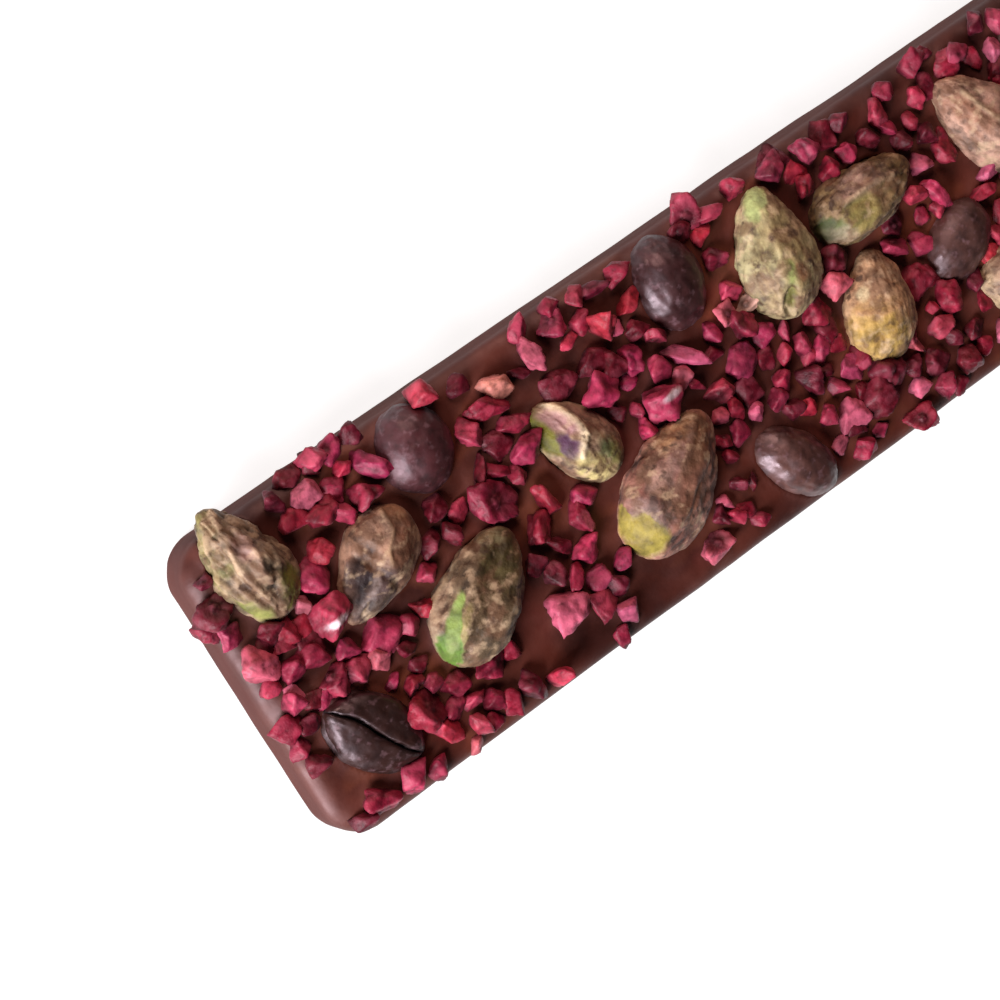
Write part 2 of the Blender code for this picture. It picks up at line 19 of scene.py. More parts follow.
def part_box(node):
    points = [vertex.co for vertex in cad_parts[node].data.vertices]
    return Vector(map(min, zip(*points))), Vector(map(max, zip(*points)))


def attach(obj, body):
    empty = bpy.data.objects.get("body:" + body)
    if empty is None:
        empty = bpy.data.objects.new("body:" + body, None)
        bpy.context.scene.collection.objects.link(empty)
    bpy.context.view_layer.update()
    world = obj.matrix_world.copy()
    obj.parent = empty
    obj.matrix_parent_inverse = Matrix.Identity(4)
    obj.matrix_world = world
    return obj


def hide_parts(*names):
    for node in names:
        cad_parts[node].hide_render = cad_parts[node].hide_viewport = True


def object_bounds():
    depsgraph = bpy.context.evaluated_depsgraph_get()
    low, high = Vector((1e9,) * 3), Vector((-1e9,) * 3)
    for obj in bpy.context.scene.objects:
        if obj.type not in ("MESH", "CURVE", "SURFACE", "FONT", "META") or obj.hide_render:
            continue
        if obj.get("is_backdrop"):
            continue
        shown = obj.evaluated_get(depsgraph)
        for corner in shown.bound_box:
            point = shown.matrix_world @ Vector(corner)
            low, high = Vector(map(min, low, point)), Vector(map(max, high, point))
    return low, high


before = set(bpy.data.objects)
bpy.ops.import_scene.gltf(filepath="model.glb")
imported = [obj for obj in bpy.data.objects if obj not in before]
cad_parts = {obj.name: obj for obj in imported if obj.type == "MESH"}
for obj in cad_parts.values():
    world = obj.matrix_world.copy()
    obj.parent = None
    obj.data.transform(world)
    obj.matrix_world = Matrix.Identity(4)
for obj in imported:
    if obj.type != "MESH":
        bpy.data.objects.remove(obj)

LOG = logging.getLogger("chocolate_bark")
MM = 0.001
BODY = "root"
BOX_MARGIN_MM = 0.02
Colour = tuple[float, float, float]
Place = tuple[float, float, float]


def tint(red: int, green: int, blue: int) -> Colour:
    """Turn a colour of 0 to 255, as seen on a screen, into the light it gives back.

    Args:
        red: The red of the colour.
        green: The green of the colour.
        blue: The blue of the colour.

    Returns:
        The linear red, green and blue.
    """
    shares = (value / 255.0 for value in (red, green, blue))
    return tuple(
        share / 12.92 if share <= 0.04045 else ((share + 0.055) / 1.055) ** 2.4 for share in shares
    )


def smooth(low: float, high: float, value: np.ndarray) -> np.ndarray:
    """Rise smoothly from 0 at low to 1 at high.

    Args:
        low: The value where the rise starts.
        high: The value where it ends.
        value: The values to look up.

    Returns:
        The share of the rise at each value.
    """
    share = np.clip((value - low) / (high - low), 0.0, 1.0)
    return share * share * (3.0 - 2.0 * share)


def laid_over(below: np.ndarray, share: np.ndarray, colour: object) -> np.ndarray:
    """Lay a colour over the colours of a piece's points.

    Args:
        below: The colour so far, or a row of it for each point.
        share: How much of the new colour shows at each point.
        colour: The new colour, or a row of it for each point.

    Returns:
        The new colours.
    """
    amount = share[:, None]
    return (1.0 - amount) * below + amount * np.array(colour)


@dataclass(frozen=True)
class Grain:
    """Smooth lumps over space, the same on every run."""

    seed: int = 0

    def corner(self, x: np.ndarray, y: np.ndarray, z: np.ndarray) -> np.ndarray:
        """Return a value from 0 to 1 for each whole-numbered place.

        Args:
            x: Whole numbers along X.
            y: Whole numbers along Y.
            z: Whole numbers along Z.

        Returns:
            One value for each place.
        """
        mixed = (x * 374761393 + y * 668265263 + z * 1442695041 + self.seed * 974634777) & 0xFFFFFFFF
        mixed = ((mixed ^ (mixed >> 13)) * 1274126177) & 0xFFFFFFFF
        mixed = ((mixed ^ (mixed >> 15)) * 668265263) & 0xFFFFFFFF
        return ((mixed ^ (mixed >> 16)) & 0xFFFF) / 65535.0

    def lumps(self, places: np.ndarray) -> np.ndarray:
        """Return smooth lumps about one unit across.

        Args:
            places: One row of x, y and z for each place.

        Returns:
            A value from -1 to 1 for each place.
        """
        whole = np.floor(places).astype(np.int64)
        part = places - whole
        ease = part * part * (3.0 - 2.0 * part)
        total = np.zeros(len(places))
        for step in range(8):
            offset = np.array((step & 1, (step >> 1) & 1, (step >> 2) & 1))
            weight = np.prod(np.where(offset == 1, ease, 1.0 - ease), axis=1)
            at = whole + offset
            total += weight * self.corner(at[:, 0], at[:, 1], at[:, 2])
        return 2.0 * total - 1.0

    def layered(self, places: np.ndarray, layers: int = 3) -> np.ndarray:
        """Return lumps with finer lumps on them.

        Args:
            places: One row of x, y and z for each place.
            layers: How many sizes of lumps are laid on each other.

        Returns:
            A value of about -1 to 1 for each place.
        """
        total = np.zeros(len(places))
        weight = 1.0
        whole = 0.0
        for layer in range(layers):
            total += weight * Grain(self.seed + 17 * layer).lumps(places * 2.03 ** layer)
            whole += weight
            weight *= 0.5
        return total / whole

    def creased(self, places: np.ndarray, layers: int = 2) -> np.ndarray:
        """Return rounded swells with sharp creases between them.

        Args:
            places: One row of x, y and z for each place.
            layers: How many sizes of creases are laid on each other.

        Returns:
            A value from 0 in a crease to 1 on a swell for each place.
        """
        total = np.zeros(len(places))
        weight = 1.0
        whole = 0.0
        for layer in range(layers):
            total += weight * np.abs(Grain(self.seed + 31 * layer).lumps(places * 2.1 ** layer))
            whole += weight
            weight *= 0.5
        return np.clip(1.8 * total / whole, 0.0, 1.0)


def add_piece(name: str, points: np.ndarray, faces: list, colours: np.ndarray) -> bpy.types.Object:
    """Make a smooth-shaded mesh object from points and faces.

    Args:
        name: The piece's name.
        points: One row of x, y and z for each point, in metres.
        faces: The point numbers of each face.
        colours: One value, or red, green, blue and, if wanted, a fourth value, for each point. They
            are kept as the attribute "painted", and one value stands for all three colours.

    Returns:
        The new object.
    """
    mesh = bpy.data.meshes.new(name)
    mesh.from_pydata(points.tolist(), [], faces)
    mesh.shade_smooth()
    layer = mesh.color_attributes.new("painted", "FLOAT_COLOR", "POINT")
    if colours.ndim == 1:
        colours = np.repeat(colours[:, None], 3, axis=1)
    rows = np.ones((len(points), 4))
    rows[:, :colours.shape[1]] = np.clip(colours, 0.0, 1.0)
    layer.data.foreach_set("color", rows.ravel())
    piece = bpy.data.objects.new(name, mesh)
    bpy.context.scene.collection.objects.link(piece)
    return piece


def declare(piece: bpy.types.Object, nodes: list[str]) -> None:
    """Let a piece ride on the bar and stand for its solids.

    Args:
        piece: The finished piece.
        nodes: The names of the solids that it stands for.
    """
    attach(piece, BODY)
    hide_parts(*nodes)
    LOG.info("%s: %d points for %s", piece.name, len(piece.data.vertices), ", ".join(nodes))


@dataclass
class Shader:
    """A node tree under construction, with short ways to add its nodes."""

    name: str
    material: bpy.types.Material = field(init=False)
    surface: bpy.types.Node = field(init=False)

    def __post_init__(self) -> None:
        """Make the material and find its surface node."""
        self.material = bpy.data.materials.new(self.name)
        self.material.use_nodes = True
        self.surface = self.material.node_tree.nodes["Principled BSDF"]

    def node(self, kind: str, **settings: object) -> bpy.types.Node:
        """Add a node with the given settings.

        Args:
            kind: The node's type.
            settings: Its properties by name.

        Returns:
            The new node.
        """
        made = self.material.node_tree.nodes.new(kind)
        for key, value in settings.items():
            setattr(made, key, value)
        return made

    def link(self, source: bpy.types.NodeSocket, target: bpy.types.NodeSocket) -> None:
        """Join one socket to another."""
        self.material.node_tree.links.new(source, target)

    def feed(self, name: str, source: bpy.types.NodeSocket) -> None:
        """Join a socket to one of the surface's own."""
        self.link(source, self.surface.inputs[name])

    def set(self, **values: object) -> None:
        """Set the surface's own plain numbers and colours.

        Args:
            values: Each number or colour by its socket's name, with _ for a space.
        """
        for key, value in values.items():
            plain = (*value, 1.0) if isinstance(value, tuple) else value
            self.surface.inputs[key.replace("_", " ")].default_value = plain

    def place(self) -> bpy.types.NodeSocket:
        """Return the place of a surface point in the object's own frame, in metres."""
        return self.node("ShaderNodeTexCoord").outputs["Object"]

    def noise(self, per_metre: float, detail: float,
              stretch: Place = (1.0, 1.0, 1.0)) -> bpy.types.NodeSocket:
        """Add noise whose lumps are one over per_metre across.

        Args:
            per_metre: How many lumps a metre holds.
            detail: How many finer layers lie on it.
            stretch: How much closer the lumps lie along X, Y and Z.

        Returns:
            The noise's value, about 0.5.
        """
        mapping = self.node("ShaderNodeMapping")
        mapping.inputs["Scale"].default_value = stretch
        self.link(self.place(), mapping.inputs["Vector"])
        made = self.node("ShaderNodeTexNoise")
        made.inputs["Scale"].default_value = per_metre
        made.inputs["Detail"].default_value = detail
        self.link(mapping.outputs["Vector"], made.inputs["Vector"])
        return made.outputs["Fac"]

    def ramp(self, value: bpy.types.NodeSocket, low: float, high: float, start: float = 0.0,
             end: float = 1.0) -> bpy.types.NodeSocket:
        """Map a value from one range to another, held at its ends.

        Args:
            value: The value to map.
            low: The value that gives start.
            high: The value that gives end.
            start: What low becomes.
            end: What high becomes.

        Returns:
            The mapped value.
        """
        made = self.node("ShaderNodeMapRange")
        self.link(value, made.inputs["Value"])
        for key, number in (("From Min", low), ("From Max", high), ("To Min", start), ("To Max", end)):
            made.inputs[key].default_value = number
        return made.outputs["Result"]

    def mix(self, share: bpy.types.NodeSocket, first: object, second: Colour) -> bpy.types.NodeSocket:
        """Lay a colour over another.

        Args:
            share: How much of the second colour shows.
            first: The colour below, or the socket that gives it.
            second: The colour above.

        Returns:
            The mixed colour.
        """
        made = self.node("ShaderNodeMix", data_type="RGBA")
        below, above = made.inputs[6:8]
        self.link(share, made.inputs["Factor"])
        if isinstance(first, bpy.types.NodeSocket):
            self.link(first, below)
        else:
            below.default_value = (*first, 1.0)
        above.default_value = (*second, 1.0)
        return made.outputs[2]

    def painted(self) -> bpy.types.Node:
        """Return the node of the colour that the piece's points carry."""
        return self.node("ShaderNodeAttribute", attribute_name="painted")

    def shaded(self, colour: bpy.types.NodeSocket, shade: bpy.types.NodeSocket) -> bpy.types.NodeSocket:
        """Return a colour made darker or lighter by a factor.

        Args:
            colour: The colour.
            shade: The factor, 1 for no change.

        Returns:
            The changed colour.
        """
        made = self.node("ShaderNodeVectorMath", operation="SCALE")
        self.link(colour, made.inputs[0])
        self.link(shade, made.inputs["Scale"])
        return made.outputs[0]

    def worked(self, operation: str, first: bpy.types.NodeSocket,
               second: bpy.types.NodeSocket) -> bpy.types.NodeSocket:
        """Make one value of two.

        Args:
            operation: What is done with them.
            first: The first value.
            second: The second value.

        Returns:
            The value made.
        """
        made = self.node("ShaderNodeMath", operation=operation)
        self.link(first, made.inputs[0])
        self.link(second, made.inputs[1])
        return made.outputs[0]

    def product(self, first: bpy.types.NodeSocket, second: bpy.types.NodeSocket) -> bpy.types.NodeSocket:
        """Return two values multiplied."""
        return self.worked("MULTIPLY", first, second)

    def larger(self, first: bpy.types.NodeSocket, second: bpy.types.NodeSocket) -> bpy.types.NodeSocket:
        """Return the larger of two values."""
        return self.worked("MAXIMUM", first, second)

    def bump(self, height: bpy.types.NodeSocket, depth: float, strength: float,
             below: bpy.types.NodeSocket | None = None) -> bpy.types.NodeSocket:
        """Raise the surface by a height, in metres at full value.

        Args:
            height: The relief's value from 0 to 1.
            depth: How far 1 stands above 0.
            strength: How much of the relief shows.
            below: A coarser relief that this one lies on.

        Returns:
            The bumped normal.
        """
        made = self.node("ShaderNodeBump")
        made.inputs["Distance"].default_value = depth
        made.inputs["Strength"].default_value = strength
        self.link(height, made.inputs["Height"])
        if below is not None:
            self.link(below, made.inputs["Normal"])
        return made.outputs["Normal"]


@dataclass(frozen=True)
class ChocolateFinish:
    """Satin milk chocolate, a little mottled, with a soft gloss and dull sides.

    The colour that the bar carries says how much of a side each point is: the sides are rougher, and painted
    a darker brown as painted shade.
    """

    deep: Colour = tint(54, 20, 13)
    warm: Colour = tint(88, 40, 29)
    bloom: Colour = tint(128, 78, 68)
    smear: Colour = tint(128, 68, 42)
    # The sides' darker brown is painted shade.
    wall: Colour = tint(68, 31, 25)
    gloss: Colour = (1.0, 0.78, 0.80)

    def material(self) -> bpy.types.Material:
        """Build the chocolate's material.

        Returns:
            The material.
        """
        shader = Shader("milk_chocolate")
        walls = shader.painted().outputs["Fac"]
        broad = shader.ramp(shader.noise(90.0, 4.0), 0.35, 0.68)
        colour = shader.mix(broad, self.deep, self.warm)
        smears = shader.ramp(shader.noise(75.0, 3.0, (1.0, 1.6, 1.0)), 0.56, 0.70, 0.0, 0.45)
        colour = shader.mix(smears, colour, self.smear)
        haze = shader.ramp(shader.noise(230.0, 5.0), 0.50, 0.80, 0.0, 0.28)
        colour = shader.mix(haze, colour, self.bloom)
        # Painted shade: the sides are painted a darker brown than the top.
        colour = shader.mix(shader.ramp(walls, 0.0, 1.0, 0.0, 0.7), colour, self.wall)
        shader.feed("Base Color", colour)
        rough = shader.ramp(shader.noise(420.0, 4.0), 0.3, 0.75, 0.46, 0.60)
        dull = shader.ramp(walls, 0.0, 1.0, 0.0, 0.95)
        shader.feed("Roughness", shader.larger(rough, dull))
        shader.surface.distribution = "GGX"
        waves = shader.bump(shader.noise(300.0, 3.0), 0.00022, 0.6)
        fine = shader.bump(shader.noise(2600.0, 3.0), 0.00002, 0.6, waves)
        shader.feed("Normal", fine)
        shader.set(Specular_Tint=self.gloss, Specular_IOR_Level=0.52, Coat_Weight=0.04, Coat_Roughness=0.44)
        return shader.material


@dataclass(frozen=True)
class BerryFinish:
    """Velvety dried berry flesh over the colour that each crumb carries."""

    name: str = "dried_berry"
    bloom: Colour = tint(226, 138, 160)
    dark: Colour = tint(60, 6, 18)

    def material(self) -> bpy.types.Material:
        """Build the berry's material.

        Returns:
            The material.
        """
        shader = Shader(self.name)
        mottle = shader.ramp(shader.noise(900.0, 7.0), 0.32, 0.68, 0.72, 1.20)
        colour = shader.shaded(shader.painted().outputs["Color"], mottle)
        seams = shader.ramp(shader.noise(1100.0, 5.0), 0.55, 0.72, 0.0, 0.34)
        colour = shader.mix(seams, colour, self.dark)
        dusting = shader.ramp(shader.noise(2600.0, 2.0), 0.60, 0.78, 0.0, 0.07)
        colour = shader.mix(dusting, colour, self.bloom)
        shader.feed("Base Color", colour)
        swell = shader.bump(shader.noise(1100.0, 3.0), 0.00022, 0.6)
        fuzz = shader.bump(shader.noise(3600.0, 4.0), 0.00007, 0.6, swell)
        shader.feed("Normal", fuzz)
        shader.set(Roughness=0.52, Specular_IOR_Level=0.28, Sheen_Weight=0.02, Sheen_Roughness=0.45)
        return shader.material


@dataclass(frozen=True)
class SkinFinish:
    """Papery pistachio skin over the colour that each kernel carries.

    The fourth value of the colour says how much skin is left on the flesh.
    """

    name: str = "pistachio_skin"
    pit: Colour = tint(66, 46, 34)
    stain: Colour = tint(108, 78, 58)
    scale: Colour = tint(196, 170, 138)

    def material(self) -> bpy.types.Material:
        """Build the skin's material.

        Returns:
            The material.
        """
        shader = Shader(self.name)
        paint = shader.painted()
        skin = paint.outputs["Alpha"]
        mottle = shader.ramp(shader.noise(620.0, 8.0), 0.34, 0.66, 0.54, 1.26)
        colour = shader.shaded(paint.outputs["Color"], mottle)
        patches = shader.ramp(shader.noise(330.0, 7.0), 0.51, 0.60, 0.0, 0.66)
        colour = shader.mix(shader.product(patches, skin), colour, self.stain)
        flakes = shader.ramp(shader.noise(520.0, 7.0, (1.0, 1.3, 1.0)), 0.54, 0.66, 0.0, 0.50)
        colour = shader.mix(shader.product(flakes, skin), colour, self.scale)
        where = shader.ramp(shader.noise(210.0, 2.0), 0.42, 0.58, 0.0, 0.92)
        pits = shader.product(shader.ramp(shader.noise(820.0, 8.0), 0.53, 0.66, 0.0, 1.0), where)
        colour = shader.mix(shader.product(pits, skin), colour, self.pit)
        shader.feed("Base Color", colour)
        crumple = shader.bump(shader.noise(1300.0, 4.0), 0.00024, 0.7)
        fibre = shader.bump(shader.noise(4200.0, 2.0), 0.00004, 0.6, crumple)
        shader.feed("Normal", fibre)
        shader.set(Roughness=0.60, Specular_IOR_Level=0.36, Sheen_Weight=0.04)
        return shader.material


@dataclass(frozen=True)
class RoastFinish:
    """Dark roasted coffee bean with an oily bloom and a dull crease.

    The colour that the bean carries says how light each point is: the crease is painted darker, a painted
    shade, and made rougher.
    """

    name: str
    roast: Colour
    worn: Colour
    roughness: float = 0.42
    char: Colour = tint(26, 13, 11)
    # Pale lilac: partly dust on the roast, partly a painted sheen.
    dust_and_sheen: Colour = tint(136, 106, 114)
    gloss: Colour = (1.0, 0.84, 0.93)

    def material(self) -> bpy.types.Material:
        """Build the bean's material.

        Returns:
            The material.
        """
        shader = Shader(self.name)
        patch = shader.ramp(shader.noise(300.0, 4.0), 0.35, 0.70)
        colour = shader.mix(patch, self.roast, self.worn)
        dark = shader.ramp(shader.noise(700.0, 5.0), 0.45, 0.66, 0.0, 0.6)
        colour = shader.mix(dark, colour, self.char)
        # Random pale lilac patches: partly dust on the roast, partly a painted sheen.
        dust_and_sheen_share = shader.ramp(shader.noise(1100.0, 5.0), 0.56, 0.72, 0.0, 0.35)
        colour = shader.mix(dust_and_sheen_share, colour, self.dust_and_sheen)
        # The bean's painted shade: darker in the crease, which is also made rougher.
        light = shader.painted().outputs["Fac"]
        shader.feed("Base Color", shader.shaded(colour, light))
        smoothest = self.roughness - 0.08
        roughest = self.roughness + 0.12
        rough = shader.ramp(shader.noise(800.0, 3.0), 0.3, 0.7, smoothest, roughest)
        dull = shader.ramp(light, 0.1, 0.9, 0.95, 0.0)
        shader.feed("Roughness", shader.larger(rough, dull))
        shader.feed("Normal", shader.bump(shader.noise(900.0, 5.0), 0.00010, 0.6))
        shader.set(Specular_Tint=self.gloss, Specular_IOR_Level=0.7, Coat_Weight=0.04, Coat_Roughness=0.42)
        return shader.material


class Tone(Enum):
    """The colours that dried berry crumbs come in."""

    DEEP = tint(94, 8, 30)
    CRIMSON = tint(134, 24, 50)
    ROSE = tint(160, 46, 74)
    PINK = tint(188, 88, 112)
    CORAL = tint(162, 38, 58)
    MAGENTA = tint(146, 36, 70)
    SALMON = tint(206, 122, 120)
    BEIGE = tint(236, 176, 162)


class Form(Enum):
    """The kinds of crumbs that a broken dried berry gives."""

    CHUNK = "berry_chunks"
    CLUSTER = "berry_clusters"
    SHELL = "berry_shells"
    FLAKE = "berry_flakes"
    GRIT = "berry_grit"


class Coat(Enum):
    """What a patch of a pistachio kernel's surface is."""

    FLESH = "bare green flesh where the skin is torn off"
    STAIN = "a colour in the skin"
    HOLLOW = "a sunk place"


@dataclass(frozen=True)
class Patch:
    """A blotch on a kernel: its place along it and round it, its reach and its colour."""

    coat: Coat
    along_mm: float
    round_deg: float
    reach_along_mm: float
    reach_round_mm: float
    colour: Colour
    turn_deg: float = 0.0
    strength: float = 1.0
    edge: float = 0.4


@dataclass(frozen=True)
class Ridge:
    """A raised fold of skin that runs through places along and round a kernel."""

    route: tuple[tuple[float, float], ...]
    height_mm: float = 0.35
    width_mm: float = 0.45
    colour: Colour = tint(196, 172, 138)


@dataclass
class Topping:
    """A nut or bean that is bedded in the chocolate, its heading in degrees."""

    name: str
    x_mm: float
    y_mm: float
    heading: float
    length_mm: float
    width_mm: float
    height_mm: float
    sunk_mm: float

    def own_frame(self, x: np.ndarray | float, y: np.ndarray | float) -> tuple:
        """Turn places on the bar into places along and across the topping.

        Args:
            x: Places along the bar, in millimetres.
            y: Places across the bar, in millimetres.

        Returns:
            How far along and how far across the topping each place is, in millimetres.
        """
        turn = math.radians(self.heading)
        off_x = x - self.x_mm
        off_y = y - self.y_mm
        along = off_x * math.cos(turn) + off_y * math.sin(turn)
        return along, off_y * math.cos(turn) - off_x * math.sin(turn)

    def bar_frame(self, along: np.ndarray | float, across: np.ndarray | float) -> tuple:
        """Turn places along and across the topping into places on the bar.

        Args:
            along: Places along the topping, in millimetres.
            across: Places across it, in millimetres.

        Returns:
            Each place along and across the bar, in millimetres.
        """
        turn = math.radians(self.heading)
        x = self.x_mm + along * math.cos(turn) - across * math.sin(turn)
        return x, self.y_mm + along * math.sin(turn) + across * math.cos(turn)

    def set_down(self, form: np.ndarray) -> np.ndarray:
        """Turn the topping's points to its heading and move them to its solid's place and top.

        Args:
            form: Its points from its centre, in millimetres.

        Returns:
            The points on the bar.
        """
        points = np.column_stack((*self.bar_frame(form[:, 0], form[:, 1]), form[:, 2]))
        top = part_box(self.name)[1].z / MM
        points[:, 2] += top - points[:, 2].max()
        return points


@dataclass
class Kernel(Topping):
    """One pistachio kernel with its folds, pits and torn skin."""

    roll: float
    phase: float
    skin: Colour = tint(176, 148, 118)
    second: Colour = tint(146, 116, 104)
    pits: Colour = tint(74, 54, 38)
    wrinkle_mm: float = 0.22
    pit_share: float = 0.5
    lightness: float = 1.0
    patches: tuple[Patch, ...] = ()
    ridges: tuple[Ridge, ...] = ()
    taper: float = 0.20
    blunting: float = 0.06
    seam_height: float = 0.09
    seam_spread: float = 0.30
    tip_pull: float = 0.05
    tip_shift: float = 0.02
    lump_mm: float = 0.42
    pit_mm: float = 0.16
    torn_mm: float = 0.20
    torn_rim_mm: float = 0.10
    hollow_mm: float = 0.9
    segments: int = 120
    rings: int = 84

    def base_form(self, unit: np.ndarray) -> np.ndarray:
        """Move points of the unit sphere to the kernel's main form, in millimetres.

        Args:
            unit: One row for each point of the sphere, whose poles lie along X.

        Returns:
            One row for each point, from the kernel's centre.
        """
        along = unit[:, 0]
        angle = np.arctan2(unit[:, 2], unit[:, 1])
        middle = 1.0 - along * along
        taper = 1.0 - self.taper * along - self.blunting * along * along
        seam = math.radians(90.0 + self.roll)
        from_seam = np.remainder(angle - seam + math.pi, math.tau) - math.pi
        ridge = self.seam_height * middle * np.exp(-(from_seam / self.seam_spread) ** 2)
        wrinkle = 0.030 * middle * np.sin(5.0 * angle + 2.0 * along + self.phase)
        lump = np.array([noise.noise(Vector((2.2 * x + self.phase, 1.6 * y, 1.6 * z))) for x, y, z in unit])
        swell = taper * (1.0 + ridge + wrinkle + 0.07 * lump)
        tip = self.tip_pull * np.maximum(along, 0.0) ** 3
        return np.column_stack((
            0.5 * self.length_mm * (along + tip - self.tip_shift),
            0.5 * self.width_mm * unit[:, 1] * swell,
            0.5 * self.height_mm * unit[:, 2] * swell,
        ))

    def offsets(self, form: np.ndarray, along_mm: float, round_deg: float) -> tuple[np.ndarray, np.ndarray]:
        """Measure from a place on the kernel to each of its points.

        Args:
            form: The kernel's points from its centre, in millimetres.
            along_mm: The place along the kernel.
            round_deg: The place round it, 90 at the top.

        Returns:
            How far each point is along the kernel and round it, in millimetres.
        """
        angle = np.arctan2(form[:, 2], form[:, 1])
        gap = np.remainder(angle - math.radians(round_deg) + math.pi, math.tau) - math.pi
        girth = np.hypot(form[:, 1], form[:, 2])
        return form[:, 0] - along_mm, gap * girth

    def patch_share(self, form: np.ndarray, patch: Patch, ripple: np.ndarray) -> np.ndarray:
        """Return how much of a patch shows at each point of the kernel.

        Args:
            form: The kernel's points from its centre, in millimetres.
            patch: The patch.
            ripple: Lumps that make the patch's edge uneven.

        Returns:
            A share from 0 to 1 for each point.
        """
        along, across = self.offsets(form, patch.along_mm, patch.round_deg)
        turn = math.radians(patch.turn_deg)
        first = along * math.cos(turn) + across * math.sin(turn)
        second = across * math.cos(turn) - along * math.sin(turn)
        reach = np.hypot(first / patch.reach_along_mm, second / patch.reach_round_mm) + 0.42 * ripple
        return patch.strength * (1.0 - smooth(1.0 - patch.edge, 1.0 + patch.edge, reach))

    def ridge_gap(self, form: np.ndarray, ridge: Ridge) -> np.ndarray:
        """Return the distance of each point from a ridge's route, in millimetres.

        Args:
            form: The kernel's points from its centre, in millimetres.
            ridge: The ridge.

        Returns:
            One distance for each point.
        """
        nearest = np.full(len(form), np.inf)
        for start, end in zip(ridge.route, ridge.route[1:]):
            along, across = self.offsets(form, *start)
            middle = math.radians((start[1] + end[1]) / 2.0)
            girth = 0.25 * (self.width_mm + self.height_mm) * 0.85
            step_along = end[0] - start[0]
            step_across = math.radians(end[1] - start[1]) * girth
            span = max(math.hypot(step_along, step_across), 0.01)
            share = np.clip((along * step_along + across * step_across) / span ** 2, 0.0, 1.0)
            gap = np.hypot(along - share * step_along, across - share * step_across)
            nearest = np.minimum(nearest, gap)
        return nearest

    def build(self, limits: tuple[np.ndarray, np.ndarray]) -> bpy.types.Object:
        """Build the kernel's mesh with its folds, pits, torn skin and colours.

        Args:
            limits: The lowest and highest corner that it stays between, in millimetres.

        Returns:
            The kernel.
        """
        unit, faces = lying_sphere(self.segments, self.rings)
        form = self.base_form(unit)
        outward = form / np.maximum(np.linalg.norm(form, axis=1, keepdims=True), 1e-9)
        seed = int(10 * self.phase)
        sway = Grain(seed + 3).layered(form / 2.6, 2)[:, None] * np.array((0.0, 0.45, 0.45))
        folds = Grain(seed + 5).creased(form / (4.2, 1.25, 1.25) + sway, 2)
        crinkles = Grain(seed + 21).creased(form / (1.9, 0.66, 0.66) + 1.5 * sway, 2)
        ends = np.clip(1.15 - np.abs(unit[:, 0]) ** 6, 0.0, 1.0)
        ripple = Grain(seed + 9).layered(form / 1.1, 3)
        pits = smooth(0.04, 0.40, Grain(seed + 11).layered(form / (1.5, 1.1, 1.1), 4))
        lumps = Grain(seed + 15).layered(form / 4.2, 2)
        drift = smooth(-0.35, 0.45, Grain(seed + 13).layered(form / 3.1, 3))

        colours = laid_over(np.array(self.skin), drift, self.second)
        lift = self.wrinkle_mm * ends * (folds - 0.55) - self.pit_mm * self.pit_share * pits
        lift += self.lump_mm * lumps
        lift += (0.10 + 0.20 * self.wrinkle_mm) * ends * (crinkles - 0.55)
        crease_dark = (1.0 - smooth(0.0, 0.34, folds)) * min(1.0, self.wrinkle_mm / 0.35)
        crinkle_dark = 1.0 - smooth(0.0, 0.30, crinkles)
        shade = 0.85 * self.pit_share * pits + 0.55 * crease_dark + 0.40 * crinkle_dark
        colours = laid_over(colours, np.clip(shade, 0.0, 0.92), self.pits)
        skin_left = np.ones(len(form))
        for patch in self.patches:
            share = self.patch_share(form, patch, ripple)
            if patch.coat is Coat.FLESH:
                lift = (1.0 - 0.75 * share) * lift - self.torn_mm * share
                lift += self.torn_rim_mm * np.clip(1.0 - np.abs(share - 0.45) / 0.4, 0.0, 1.0)
                skin_left = np.minimum(skin_left, 1.0 - 0.85 * share)
            elif patch.coat is Coat.HOLLOW:
                lift -= self.hollow_mm * share
            colours = laid_over(colours, share, patch.colour)
        for ridge in self.ridges:
            gap = self.ridge_gap(form, ridge) + 0.35 * ripple * ridge.width_mm
            crest = np.exp(-(gap / ridge.width_mm) ** 2)
            lift += ridge.height_mm * crest
            share = 0.75 * np.exp(-(gap / (0.8 * ridge.width_mm)) ** 2)
            colours = laid_over(colours, share, ridge.colour)
        points = self.set_down(form + outward * lift[:, None])
        points[:, :2] = np.clip(points[:, :2], limits[0][:2], limits[1][:2])
        paint = np.column_stack((self.lightness * colours, skin_left))
        return add_piece(f"{self.name}_kernel", points * MM, faces, paint)


